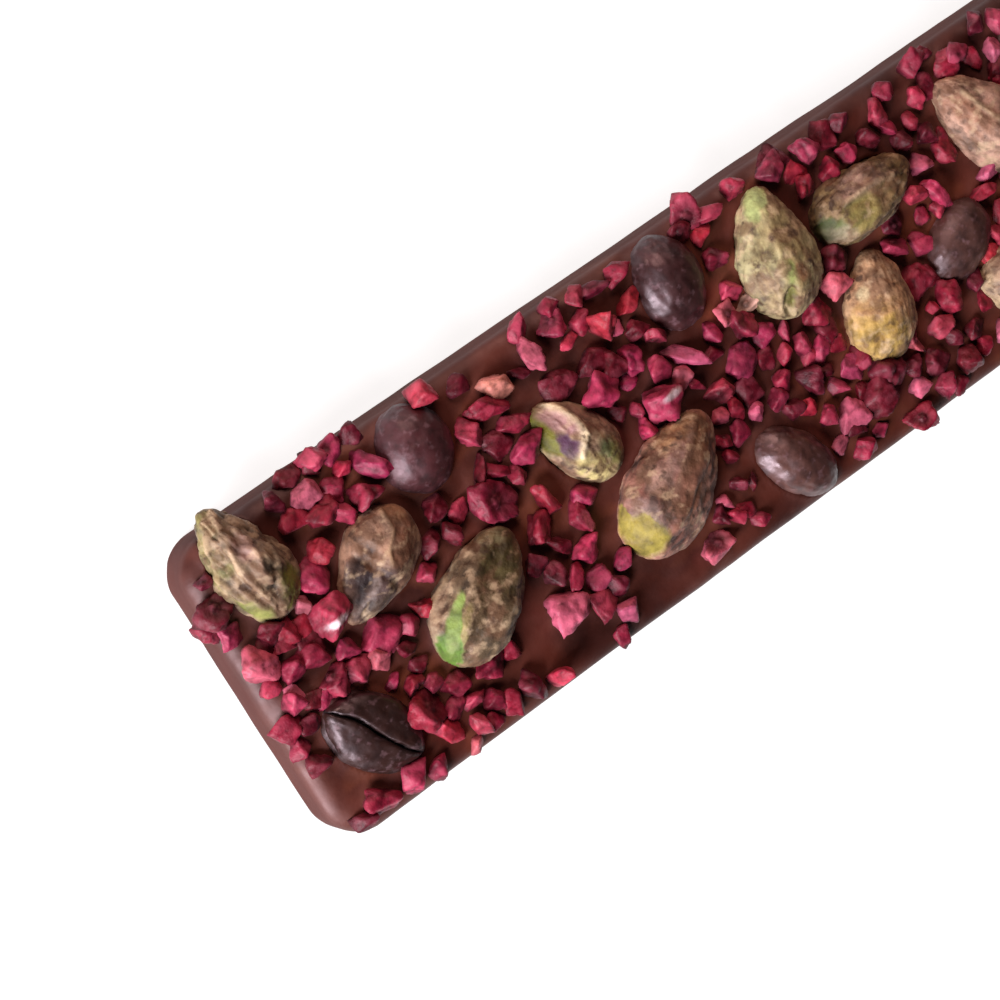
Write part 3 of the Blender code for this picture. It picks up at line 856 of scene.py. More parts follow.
@dataclass
class Bean(Topping):
    """One roasted coffee bean: a rounded hump, and a flat side with a crease."""

    crease_up: bool
    side_power: float = 1.5
    flat_share: float = 0.34
    hump_share: float = 0.66
    crease_width: float = 0.042
    crease_depth: float = 0.17
    lip_height: float = 0.02
    fold_mm: float = 0.10
    lump_mm: float = 0.26
    grain_mm: float = 0.04
    segments: int = 96
    rings: int = 64

    def build(self) -> bpy.types.Object:
        """Build the bean's mesh, with its crease up or down.

        Returns:
            The bean.
        """
        unit, faces = lying_sphere(self.segments, self.rings)
        along = unit[:, 0]
        middle = np.maximum(0.0, 1.0 - along * along)
        below = unit[:, 2] < 0.0
        pinched = np.sign(unit[:, 1]) * np.abs(unit[:, 1]) ** self.side_power
        across = np.where(below, pinched, unit[:, 1])
        flat = -self.flat_share * self.height_mm * (1.0 - (1.0 + unit[:, 2]) ** 2)
        ragged = Grain(int(abs(self.y_mm)) + 8).layered(unit * 4.0, 3)
        bend = across - 0.10 * np.sin(2.8 * along) + 0.045 * ragged
        groove = np.exp(-(bend / (self.crease_width + 0.016 * ragged)) ** 2)
        lip = self.lip_height * np.exp(-((np.abs(bend) - 0.18) / 0.14) ** 2)
        flat += (self.crease_depth * groove - lip) * self.height_mm * np.sqrt(middle)
        level = np.where(below, flat, self.hump_share * self.height_mm * unit[:, 2])
        form = np.column_stack((0.5 * self.length_mm * along, 0.5 * self.width_mm * across, level))
        seed = int(abs(7 * self.x_mm) + abs(self.y_mm))
        folds = Grain(seed).creased(form / (3.0, 1.0, 1.0), 2)
        lumps = Grain(seed + 4).layered(form / 2.4, 3)
        fine = Grain(seed + 6).layered(form / 0.7, 3)
        lift = self.fold_mm * (folds - 0.5) + self.lump_mm * lumps + self.grain_mm * fine
        form = form + unit * (lift * np.clip(1.0 - 0.7 * groove * below, 0.0, 1.0))[:, None]
        if self.crease_up:
            form[:, 1:] *= -1.0
        # Painted shade: the crease on the flat side is painted darker.
        light = 1.0 - 0.92 * below * np.clip(1.4 * groove, 0.0, 1.0)
        return add_piece(f"{self.name}_roasted", self.set_down(form) * MM, faces, light)


def lying_sphere(segments: int, rings: int) -> tuple[np.ndarray, list]:
    """Return a unit sphere whose poles lie along X.

    Args:
        segments: How many faces go round it.
        rings: How many rows of faces lie from pole to pole.

    Returns:
        Its points and its faces.
    """
    points = [(1.0, 0.0, 0.0)]
    for ring in range(1, rings):
        angle = math.pi * ring / rings
        radius = math.sin(angle)
        for segment in range(segments):
            turn = math.tau * segment / segments
            points.append((math.cos(angle), radius * math.cos(turn), radius * math.sin(turn)))
    points.append((-1.0, 0.0, 0.0))
    last = len(points) - 1
    faces = []
    for segment in range(segments):
        following = (segment + 1) % segments
        faces.append((0, 1 + segment, 1 + following))
        start = 1 + (rings - 2) * segments
        faces.append((last, start + following, start + segment))
        for ring in range(rings - 2):
            low = 1 + ring * segments
            high = low + segments
            faces.append((low + segment, high + segment, high + following, low + following))
    return np.array(points), faces


GREEN = tint(150, 176, 78)
BRIGHT_GREEN = tint(160, 200, 92)
YELLOW_GREEN = tint(196, 184, 88)
OLIVE = tint(140, 128, 62)
DARK_OLIVE = tint(96, 86, 46)
MAUVE = tint(160, 122, 118)
PURPLE = tint(118, 86, 104)
BROWN = tint(124, 84, 60)
CREAM = tint(206, 184, 150)

KERNELS = (
    Kernel(
        "pistachio_1", -67.4, 14.4, 99.0, 15.2, 8.7, 7.6, 2.6, 20.0, 0.0,
        skin=tint(144, 122, 98), second=tint(108, 90, 72), pits=tint(34, 24, 14),
        wrinkle_mm=0.62, pit_share=0.90,
        patches=(
            # Painted shade: the dark olive patch on top near the end, 6.6 mm along, stands for a shaded
            # notch.
            Patch(Coat.STAIN, 6.6, 84.0, 1.7, 1.5, DARK_OLIVE, strength=0.8),
            Patch(Coat.STAIN, 3.0, 16.0, 5.0, 0.9, tint(150, 142, 84), strength=0.5),
            Patch(Coat.STAIN, 2.2, 42.0, 1.6, 1.0, tint(120, 122, 70), strength=0.6),
            Patch(Coat.STAIN, 2.2, 95.0, 1.6, 1.2, MAUVE, strength=0.6),
            Patch(Coat.FLESH, -5.0, 128.0, 2.2, 1.9, tint(112, 116, 44), strength=0.95),
            Patch(Coat.FLESH, -4.4, 30.0, 2.4, 1.3, tint(136, 142, 72), strength=0.85),
        ),
        ridges=(
            Ridge(((6.9, 128.0), (3.9, 78.0), (0.4, 61.0), (-3.8, 70.0)), 0.60, 0.42, tint(170, 144, 116)),
            Ridge(((5.2, 40.0), (1.5, 22.0), (-2.6, 40.0)), 0.45, 0.36, tint(152, 132, 98)),
            Ridge(((2.6, 112.0), (-0.6, 88.0), (-2.8, 92.0)), 0.45, 0.36, tint(150, 120, 102)),
        ),
    ),
    Kernel(
        "pistachio_2", -54.6, 5.8, -146.0, 14.4, 8.7, 7.4, 2.8, -25.0, 1.7,
        skin=tint(200, 158, 132), second=tint(182, 140, 114), pits=tint(90, 56, 40),
        wrinkle_mm=0.16, pit_share=0.30, lightness=0.57,
        patches=(
            Patch(Coat.STAIN, -1.4, 62.0, 5.0, 1.9, tint(138, 90, 64), strength=0.85),
            Patch(Coat.STAIN, 3.6, 80.0, 3.4, 3.4, tint(92, 74, 74), strength=0.9),
            Patch(Coat.STAIN, 4.6, 44.0, 2.2, 1.6, tint(96, 76, 62), strength=0.8),
            # Painted shade: this dark hollow patch and the one at 96 degrees stand for the shade in the
            # kernel's sunk lower part.
            Patch(Coat.HOLLOW, 2.6, 118.0, 3.8, 1.6, tint(50, 38, 42), turn_deg=-12.0, strength=0.95),
            Patch(Coat.STAIN, -6.2, 118.0, 1.2, 1.8, tint(200, 150, 110), strength=0.6),
            Patch(Coat.HOLLOW, 0.9, 96.0, 0.7, 3.6, tint(66, 50, 48), turn_deg=8.0, strength=0.60, edge=0.5),
            Patch(Coat.STAIN, 2.6, 140.0, 2.2, 1.0, tint(70, 52, 52), strength=0.8),
        ),
        ridges=(
            Ridge(
                ((-5.6, 143.0), (-4.1, 101.0), (-1.4, 94.0), (-0.3, 82.0)), 0.34, 0.34, tint(206, 170, 134),
            ),
            Ridge(((1.8, 92.0), (3.4, 88.0), (6.2, 92.0)), 0.55, 0.50, tint(170, 150, 142)),
            Ridge(((1.4, 152.0), (4.0, 146.0), (6.4, 132.0)), 0.35, 0.5, tint(138, 112, 104)),
        ),
    ),
    Kernel(
        "pistachio_3", -46.1, -4.1, 35.0, 17.2, 10.4, 8.2, 2.8, 30.0, 3.4,
        skin=tint(158, 132, 102), second=tint(104, 84, 60), pits=tint(40, 28, 14),
        wrinkle_mm=0.30, pit_share=0.90, lightness=0.66,
        patches=(
            Patch(Coat.STAIN, 3.6, 92.0, 5.4, 2.6, tint(92, 82, 42), strength=0.90),
            Patch(Coat.HOLLOW, 3.4, 74.0, 4.6, 0.8, tint(78, 66, 34), strength=0.45, edge=0.5),
            Patch(Coat.STAIN, -3.4, 108.0, 4.6, 3.2, tint(98, 78, 54), strength=0.80),
            Patch(Coat.STAIN, -4.4, 14.0, 4.0, 1.5, tint(196, 170, 142), strength=0.7),
            Patch(Coat.STAIN, -5.4, 62.0, 3.2, 0.8, tint(196, 178, 116), strength=0.85, edge=0.25),
            Patch(Coat.FLESH, -7.4, 44.0, 2.0, 1.7, tint(112, 150, 58), edge=0.18),
            Patch(Coat.FLESH, -4.6, 47.0, 3.2, 0.95, tint(142, 168, 84), turn_deg=-3.0, edge=0.18),
            Patch(Coat.STAIN, 7.2, 30.0, 1.6, 1.6, tint(170, 160, 120), strength=0.6),
        ),
        ridges=(
            Ridge(((4.6, 8.0), (0.5, 4.0), (-3.5, 2.0)), 0.25, 0.5, tint(200, 176, 140)),
        ),
    ),
    Kernel(
        "pistachio_4", -25.8, 4.2, 117.0, 13.4, 8.4, 6.6, 3.0, -30.0, 5.1,
        skin=tint(180, 158, 122), second=tint(156, 124, 102), pits=tint(92, 66, 50),
        wrinkle_mm=0.22, pit_share=0.34,
        patches=(
            Patch(Coat.FLESH, 3.8, 46.0, 3.2, 1.8, tint(104, 104, 26), strength=1.0, edge=0.25),
            Patch(Coat.STAIN, 3.6, 100.0, 2.4, 1.3, tint(156, 116, 118), strength=0.85),
            Patch(Coat.FLESH, 0.4, 60.0, 2.3, 1.2, tint(84, 52, 78), strength=1.0, edge=0.2),
            Patch(Coat.STAIN, -0.4, 150.0, 4.2, 1.6, tint(146, 112, 98), strength=0.8),
            Patch(Coat.STAIN, -3.4, 98.0, 1.7, 1.4, tint(104, 122, 74), strength=0.8),
            Patch(Coat.STAIN, -3.2, 52.0, 2.8, 1.6, tint(206, 192, 128), strength=0.8),
            Patch(Coat.STAIN, -5.0, 130.0, 2.0, 1.8, tint(104, 100, 48), strength=0.8),
        ),
        ridges=(
            Ridge(((5.4, 142.0), (1.8, 120.0), (0.2, 96.0), (-0.7, 56.0)), 0.50, 0.50, tint(250, 232, 192)),
        ),
    ),
    Kernel(
        "pistachio_5", -18.5, -6.4, 31.0, 18.4, 10.8, 8.6, 2.8, 10.0, 6.8,
        skin=tint(184, 132, 116), second=tint(134, 86, 74), pits=tint(54, 28, 20),
        wrinkle_mm=0.28, pit_share=0.95, lightness=0.73,
        patches=(
            Patch(Coat.STAIN, 5.0, 30.0, 3.0, 2.4, tint(188, 150, 104), strength=0.7),
            Patch(Coat.STAIN, 5.4, 84.0, 3.4, 2.0, tint(150, 108, 70), strength=0.8),
            Patch(Coat.STAIN, 0.4, 104.0, 5.6, 2.2, tint(134, 92, 70), strength=0.75),
            Patch(Coat.STAIN, 2.2, 62.0, 2.6, 1.2, tint(158, 122, 116), strength=0.7),
            Patch(Coat.STAIN, -0.8, 50.0, 2.4, 1.5, tint(202, 162, 144), strength=0.65),
            Patch(Coat.STAIN, -5.2, 50.0, 1.6, 2.6, tint(158, 132, 124), strength=0.7),
            Patch(Coat.FLESH, -7.6, 58.0, 2.0, 3.4, tint(166, 150, 64), strength=1.0, edge=0.18),
            Patch(Coat.FLESH, -6.8, 12.0, 1.6, 1.4, tint(180, 164, 78), strength=1.0, edge=0.2),
        ),
        ridges=(
            Ridge(((7.6, 60.0), (4.4, 70.0), (1.0, 76.0), (-2.0, 84.0)), 0.28, 0.5, tint(150, 112, 92)),
        ),
    ),
    Kernel(
        "pistachio_6", 8.2, 9.2, 77.0, 16.2, 10.4, 8.2, 2.8, 0.0, 8.5,
        skin=tint(172, 162, 116), second=tint(158, 132, 102), pits=tint(88, 62, 38),
        wrinkle_mm=0.34, pit_share=0.75, lightness=0.90,
        patches=(
            Patch(Coat.STAIN, 3.4, 96.0, 4.4, 2.0, tint(146, 128, 86), strength=0.8),
            Patch(Coat.STAIN, -1.6, 100.0, 3.6, 1.5, tint(156, 136, 92), strength=0.7),
            Patch(Coat.FLESH, 6.6, 50.0, 2.0, 1.6, tint(176, 192, 124), strength=0.95, edge=0.22),
            Patch(Coat.STAIN, 1.0, 8.0, 4.4, 1.6, tint(200, 194, 148), strength=0.6),
            Patch(Coat.STAIN, -2.6, 78.0, 1.3, 0.7, tint(184, 204, 120), strength=0.8),
            Patch(Coat.STAIN, -2.9, 98.0, 1.0, 0.8, tint(178, 118, 84), strength=0.6),
            Patch(Coat.HOLLOW, -6.0, 66.0, 1.5, 0.75, tint(110, 112, 46), 25.0, strength=0.8, edge=0.22),
        ),
        ridges=(
            Ridge(((5.2, 66.0), (1.1, 70.0), (-3.2, 68.0)), 0.32, 0.5, tint(206, 190, 140)),
            Ridge(((-4.6, 52.0), (-6.6, 44.0), (-7.6, 52.0)), 0.30, 0.4, tint(214, 190, 148)),
        ),
    ),
    Kernel(
        "pistachio_7", 22.4, 8.6, 4.0, 15.6, 8.6, 7.6, 2.8, 25.0, 10.2,
        skin=tint(128, 104, 72), second=tint(112, 94, 58), pits=tint(62, 46, 30),
        wrinkle_mm=0.50, pit_share=0.65,
        patches=(
            Patch(Coat.STAIN, -1.0, 50.0, 3.6, 1.8, tint(140, 108, 96), strength=0.8),
            Patch(Coat.STAIN, -3.2, 104.0, 2.8, 2.2, tint(142, 132, 74), strength=0.8),
            Patch(Coat.FLESH, -7.0, 104.0, 1.6, 1.8, tint(84, 104, 56), strength=0.9),
            Patch(Coat.STAIN, -6.0, 132.0, 1.6, 1.3, tint(160, 150, 124), strength=0.7),
        ),
        ridges=(Ridge(((4.0, 80.0), (-0.1, 68.0), (-3.8, 66.0)), 0.40, 0.4, tint(178, 152, 124)),),
    ),
    Kernel(
        "pistachio_8", 17.0, -3.6, 66.0, 13.6, 9.4, 7.6, 2.8, -10.0, 11.9,
        skin=tint(204, 168, 130), second=tint(178, 142, 108), pits=tint(98, 64, 44),
        wrinkle_mm=0.28, pit_share=0.7,
        patches=(
            Patch(Coat.STAIN, -3.4, 62.0, 3.6, 4.2, tint(174, 144, 72), strength=0.88),
            Patch(Coat.STAIN, 1.7, 38.0, 0.9, 0.8, tint(214, 202, 160), strength=0.7),
            Patch(Coat.HOLLOW, -4.3, 58.0, 1.1, 0.8, tint(112, 80, 34), strength=0.55),
        ),
        ridges=(Ridge(((-0.6, 30.0), (-1.0, 70.0), (-0.4, 110.0)), 0.22, 0.5, tint(190, 146, 104)),),
    ),
    Kernel(
        "pistachio_9", 38.6, -12.0, -22.0, 15.4, 9.2, 7.6, 2.8, 35.0, 13.6,
        skin=tint(182, 158, 124), second=tint(154, 124, 110), wrinkle_mm=0.36,
        patches=(
            Patch(Coat.FLESH, 5.4, 70.0, 2.4, 2.0, GREEN, strength=0.9),
            Patch(Coat.STAIN, -2.4, 110.0, 3.4, 2.2, MAUVE, strength=0.7),
        ),
        ridges=(Ridge(((5.0, 120.0), (0.6, 96.0), (-4.2, 84.0)), 0.40, 0.42),),
    ),
    Kernel(
        "pistachio_10", 42.4, 7.6, 118.0, 16.4, 9.8, 8.0, 2.8, -20.0, 15.3,
        skin=tint(188, 150, 130), second=tint(162, 124, 106), wrinkle_mm=0.20, pit_share=0.7,
        patches=(
            Patch(Coat.FLESH, -6.4, 80.0, 2.0, 3.0, YELLOW_GREEN, strength=0.95),
            Patch(Coat.STAIN, 3.4, 60.0, 3.4, 1.8, BROWN, strength=0.6),
        ),
        ridges=(Ridge(((5.6, 100.0), (1.0, 84.0), (-3.0, 96.0)), 0.32, 0.45),),
    ),
    Kernel(
        "pistachio_11", 55.0, -4.6, 36.0, 15.0, 9.4, 7.8, 2.8, 15.0, 17.0,
        skin=tint(178, 150, 116), second=tint(130, 108, 78), wrinkle_mm=0.24, pit_share=0.6,
        patches=(
            Patch(Coat.FLESH, -1.0, 60.0, 3.4, 0.9, BRIGHT_GREEN, strength=1.0, edge=0.2),
            Patch(Coat.STAIN, 3.6, 100.0, 3.0, 2.4, OLIVE, strength=0.8),
        ),
        ridges=(Ridge(((3.6, 70.0), (-1.0, 78.0), (-5.0, 72.0)), 0.28, 0.45),),
    ),
    Kernel(
        "pistachio_12", 67.0, 5.6, -100.0, 15.8, 9.0, 7.6, 2.8, -15.0, 18.7,
        skin=tint(196, 178, 138), second=tint(168, 142, 118), wrinkle_mm=0.32, pit_share=0.5,
        patches=(
            Patch(Coat.STAIN, 4.4, 110.0, 2.8, 2.0, PURPLE, strength=0.75),
            Patch(Coat.FLESH, -5.8, 60.0, 2.4, 1.9, tint(176, 182, 100), strength=0.9),
        ),
        ridges=(Ridge(((5.4, 70.0), (0.8, 92.0), (-3.8, 88.0)), 0.40, 0.42, CREAM),),
    ),
)

BEANS = (
    Bean("coffee_bean_1", -65.3, -9.9, -54.0, 12.9, 9.0, 5.6, 2.4, True),
    Bean("coffee_bean_2", -43.3, 14.2, -98.0, 10.8, 9.6, 6.2, 2.2, False),
    Bean("coffee_bean_3", -5.4, 13.3, -96.0, 12.0, 9.2, 6.0, 2.2, False),
    Bean("coffee_bean_4", -2.6, -13.6, -56.0, 12.4, 7.8, 5.6, 2.2, False),
    Bean("coffee_bean_5", 31.4, -3.0, 28.0, 11.6, 8.4, 5.6, 2.2, False),
    Bean("coffee_bean_6", 55.0, 12.4, -15.0, 12.0, 8.6, 5.6, 2.4, True),
    Bean("coffee_bean_7", 66.6, -12.2, 52.0, 11.4, 8.6, 5.8, 2.2, False),
)
ROASTS = (
    RoastFinish("roasted_coffee_1", tint(36, 19, 15), tint(54, 31, 26), 0.42),
    RoastFinish("roasted_coffee_2", tint(60, 27, 30), tint(80, 40, 43), 0.50),
    RoastFinish("roasted_coffee_3", tint(48, 24, 24), tint(72, 42, 43), 0.42),
    RoastFinish("roasted_coffee_4", tint(70, 44, 40), tint(94, 64, 58), 0.38),
    RoastFinish("roasted_coffee_5", tint(66, 42, 38), tint(88, 60, 54), 0.44),
    RoastFinish("roasted_coffee_6", tint(62, 44, 38), tint(78, 54, 48), 0.46),
    RoastFinish("roasted_coffee_7", tint(74, 48, 44), tint(96, 66, 62), 0.48),
)


@dataclass
class ChocolateSlab:
    """The chocolate itself: a flat bar with rolled edges, sunk and drawn up round its toppings."""

    length_mm: float = 150.0
    width_mm: float = 40.0
    thickness_mm: float = 7.0
    corner_mm: float = 5.2
    roll_width_mm: float = 3.2
    roll_depth_mm: float = 2.2
    foot_inset_mm: float = 1.6
    foot_height_mm: float = 0.9
    cell_mm: float = 0.45
    wander_mm: float = 0.22
    slope_deg: float = 26.0
    rim_deg: float = 64.0
    swell_mm: float = 0.13
    ripple_mm: float = 0.035
    bowl_edge: float = 0.9
    bowl_below_mm: float = 0.3
    bank_mm: float = 0.42
    bank_reach_mm: float = 0.75
    crumb_bank_mm: float = 0.22
    crumb_bank_reach_mm: float = 0.55
    highest_bank_mm: float = 0.75
    swellings: tuple[tuple[float, float, float, float], ...] = (
        (-21.5, -15.6, 0.42, 2.6), (-20.6, -19.4, 0.30, 2.2),
    )

    def depth_inside(self, x_mm: float, y_mm: float) -> float:
        """Measure inwards from the bar's rounded outline.

        Args:
            x_mm: The place along the bar.
            y_mm: The place across the bar.

        Returns:
            The distance in millimetres, below 0 outside the outline.
        """
        corner_x = abs(x_mm) - (self.length_mm / 2.0 - self.corner_mm)
        corner_y = abs(y_mm) - (self.width_mm / 2.0 - self.corner_mm)
        beyond = math.hypot(max(corner_x, 0.0), max(corner_y, 0.0))
        return self.corner_mm - beyond - min(max(corner_x, corner_y), 0.0)

    def top_height(self, x_mm: float, y_mm: float) -> float:
        """Find the height of the chocolate's top, down over the rolled edge.

        Args:
            x_mm: The place along the bar.
            y_mm: The place across the bar.

        Returns:
            The height in millimetres.
        """
        depth = self.depth_inside(x_mm, y_mm)
        if depth >= self.roll_width_mm:
            return self.thickness_mm
        across = min(1.0, 1.0 - depth / self.roll_width_mm)
        return self.thickness_mm - self.roll_depth_mm * (1.0 - math.sqrt(1.0 - across * across))

    def edge_profile(self, travel: np.ndarray) -> tuple[np.ndarray, np.ndarray, np.ndarray]:
        """Follow the edge from the flat top over a soft slope and down round its rim.

        Args:
            travel: How far along the edge each point lies, from 0 to 1.

        Returns:
            How far out and how far down each point is, in millimetres, and how level it lies.
        """
        steps = np.linspace(0.0, 1.0, 400)
        slope = self.slope_deg * smooth(0.0, 0.55, steps)
        tilt = np.radians(slope + self.rim_deg * smooth(0.50, 1.0, steps))
        out = np.concatenate(((0.0,), np.cumsum(np.cos(tilt[1:]))))
        down = np.concatenate(((0.0,), np.cumsum(np.sin(tilt[1:]))))
        out *= self.roll_width_mm / out[-1]
        down *= self.roll_depth_mm / down[-1]
        level = np.cos(np.interp(travel, steps, tilt))
        return np.interp(travel, steps, out), np.interp(travel, steps, down), level

    def relief(self, x: np.ndarray, y: np.ndarray, crumbs: list[list[float]]) -> np.ndarray:
        """Return how far the top stands off its plain height at each place.

        Args:
            x: Places along the bar, in millimetres.
            y: Places across the bar, in millimetres.
            crumbs: The layout of the berry crumbs.

        Returns:
            The relief at each place, in millimetres.
        """
        flat = np.column_stack((x, y, np.zeros(len(x))))
        height = self.swell_mm * Grain(41).layered(flat / 15.0, 2)
        height += self.ripple_mm * Grain(43).layered(flat / 4.0, 2)
        for swelling_x, swelling_y, rise, reach in self.swellings:
            height += rise * np.exp(-((x - swelling_x) ** 2 + (y - swelling_y) ** 2) / reach ** 2)
        for crumb in crumbs:
            radius = 0.40 * crumb[2]
            near = np.flatnonzero((np.abs(x - crumb[0]) < 4.0) & (np.abs(y - crumb[1]) < 4.0))
            gap = np.maximum(np.hypot(x[near] - crumb[0], y[near] - crumb[1]) - radius, 0.0)
            height[near] += self.crumb_bank_mm * np.exp(-gap / self.crumb_bank_reach_mm)
        height = np.minimum(height, self.highest_bank_mm)
        for topping in (*KERNELS, *BEANS):
            along, across = topping.own_frame(x, y)
            half = topping.height_mm / 2.0
            girth = math.sqrt(max(0.05, 1.0 - ((half - topping.sunk_mm) / half) ** 2))
            level = np.hypot(2.0 * along / topping.length_mm, 2.0 * across / topping.width_mm) / girth
            away = np.hypot(along, across)
            gap = away * (1.0 - 1.0 / np.maximum(level, 1.0))
            inside = level < self.bowl_edge
            height += np.where(inside, 0.0, self.bank_mm * np.exp(-gap / self.bank_reach_mm))
            hollow = np.sqrt(np.maximum(0.0, 1.0 - (level / self.bowl_edge) ** 2))
            bowl = (topping.sunk_mm + self.bowl_below_mm) * hollow
            height -= np.where(inside, bowl - self.bank_mm, 0.0)
        return height

    def build(self, crumbs: list[list[float]]) -> bpy.types.Object:
        """Build the slab's mesh as one sheet that is folded down over its sides.

        Args:
            crumbs: The layout of the berry crumbs.

        Returns:
            The slab.
        """
        roll = 0.25 * math.pi * (self.roll_width_mm + self.roll_depth_mm)
        wall = self.thickness_mm - self.roll_depth_mm - self.foot_height_mm
        foot = 0.25 * math.pi * (self.foot_inset_mm + self.foot_height_mm)
        half_x = self.length_mm / 2.0 - self.corner_mm
        half_y = self.width_mm / 2.0 - self.corner_mm
        flat = self.corner_mm - self.roll_width_mm
        reach = flat + roll + wall + foot
        count_x = int(2.0 * (half_x + reach) / self.cell_mm)
        count_y = int(2.0 * (half_y + reach) / self.cell_mm)
        across_x = np.linspace(-half_x - reach, half_x + reach, count_x)
        across_y = np.linspace(-half_y - reach, half_y + reach, count_y)
        grid_x, grid_y = (axis.ravel() for axis in np.meshgrid(across_x, across_y))
        inner_x = np.clip(grid_x, -half_x, half_x)
        inner_y = np.clip(grid_y, -half_y, half_y)
        off_x = grid_x - inner_x
        off_y = grid_y - inner_y
        travel = np.maximum(np.abs(off_x), np.abs(off_y))
        spread = np.maximum(np.hypot(off_x, off_y), 1e-9)
        turn = np.clip((travel - flat) / roll, 0.0, 1.0)
        down = np.clip((travel - flat - roll) / wall, 0.0, 1.0)
        under = np.clip((travel - flat - roll - wall) / foot, 0.0, 1.0) * math.pi / 2.0
        sideways, fallen, level = self.edge_profile(turn)
        out = np.minimum(travel, flat) + sideways
        out -= self.foot_inset_mm * (1.0 - np.cos(under))
        z = self.thickness_mm - fallen - wall * down
        z -= self.foot_height_mm * np.sin(under)
        side = np.column_stack((grid_x / 11.0, grid_y / 11.0, z / 9.0))
        out -= smooth(0.12, 0.8, turn) * self.wander_mm * (1.0 + Grain(47).layered(side, 3))
        x = inner_x + out * off_x / spread
        y = inner_y + out * off_y / spread
        fade = level * (down <= 0.0)
        z = z + fade * self.relief(x, y, crumbs)
        points = np.column_stack((x, y, z)) * MM
        # How much of a side each point is: it makes the sides rougher and paints them darker, as painted
        # shade.
        walls = smooth(0.55, 1.0, turn)

        faces = []
        for row in range(count_y - 1):
            start = row * count_x
            for column in range(count_x - 1):
                corner = start + column
                faces.append((corner, corner + 1, corner + count_x + 1, corner + count_x))
        last = (count_y - 1) * count_x
        border = list(range(count_x - 1))
        border += [row * count_x + count_x - 1 for row in range(count_y - 1)]
        border += [last + column for column in range(count_x - 1, 0, -1)]
        border += [row * count_x for row in range(count_y - 1, 0, -1)]
        inset = points[border] * np.array((0.985, 0.95, 0.0))
        first = len(points)
        points = np.vstack((points, inset))
        size = len(border)
        for step in range(size):
            following = (step + 1) % size
            faces.append((border[following], border[step], first + step, first + following))
        faces.append(tuple(range(first + size - 1, first - 1, -1)))
        return add_piece("chocolate_bar", points, faces, np.concatenate((walls, np.ones(size))))


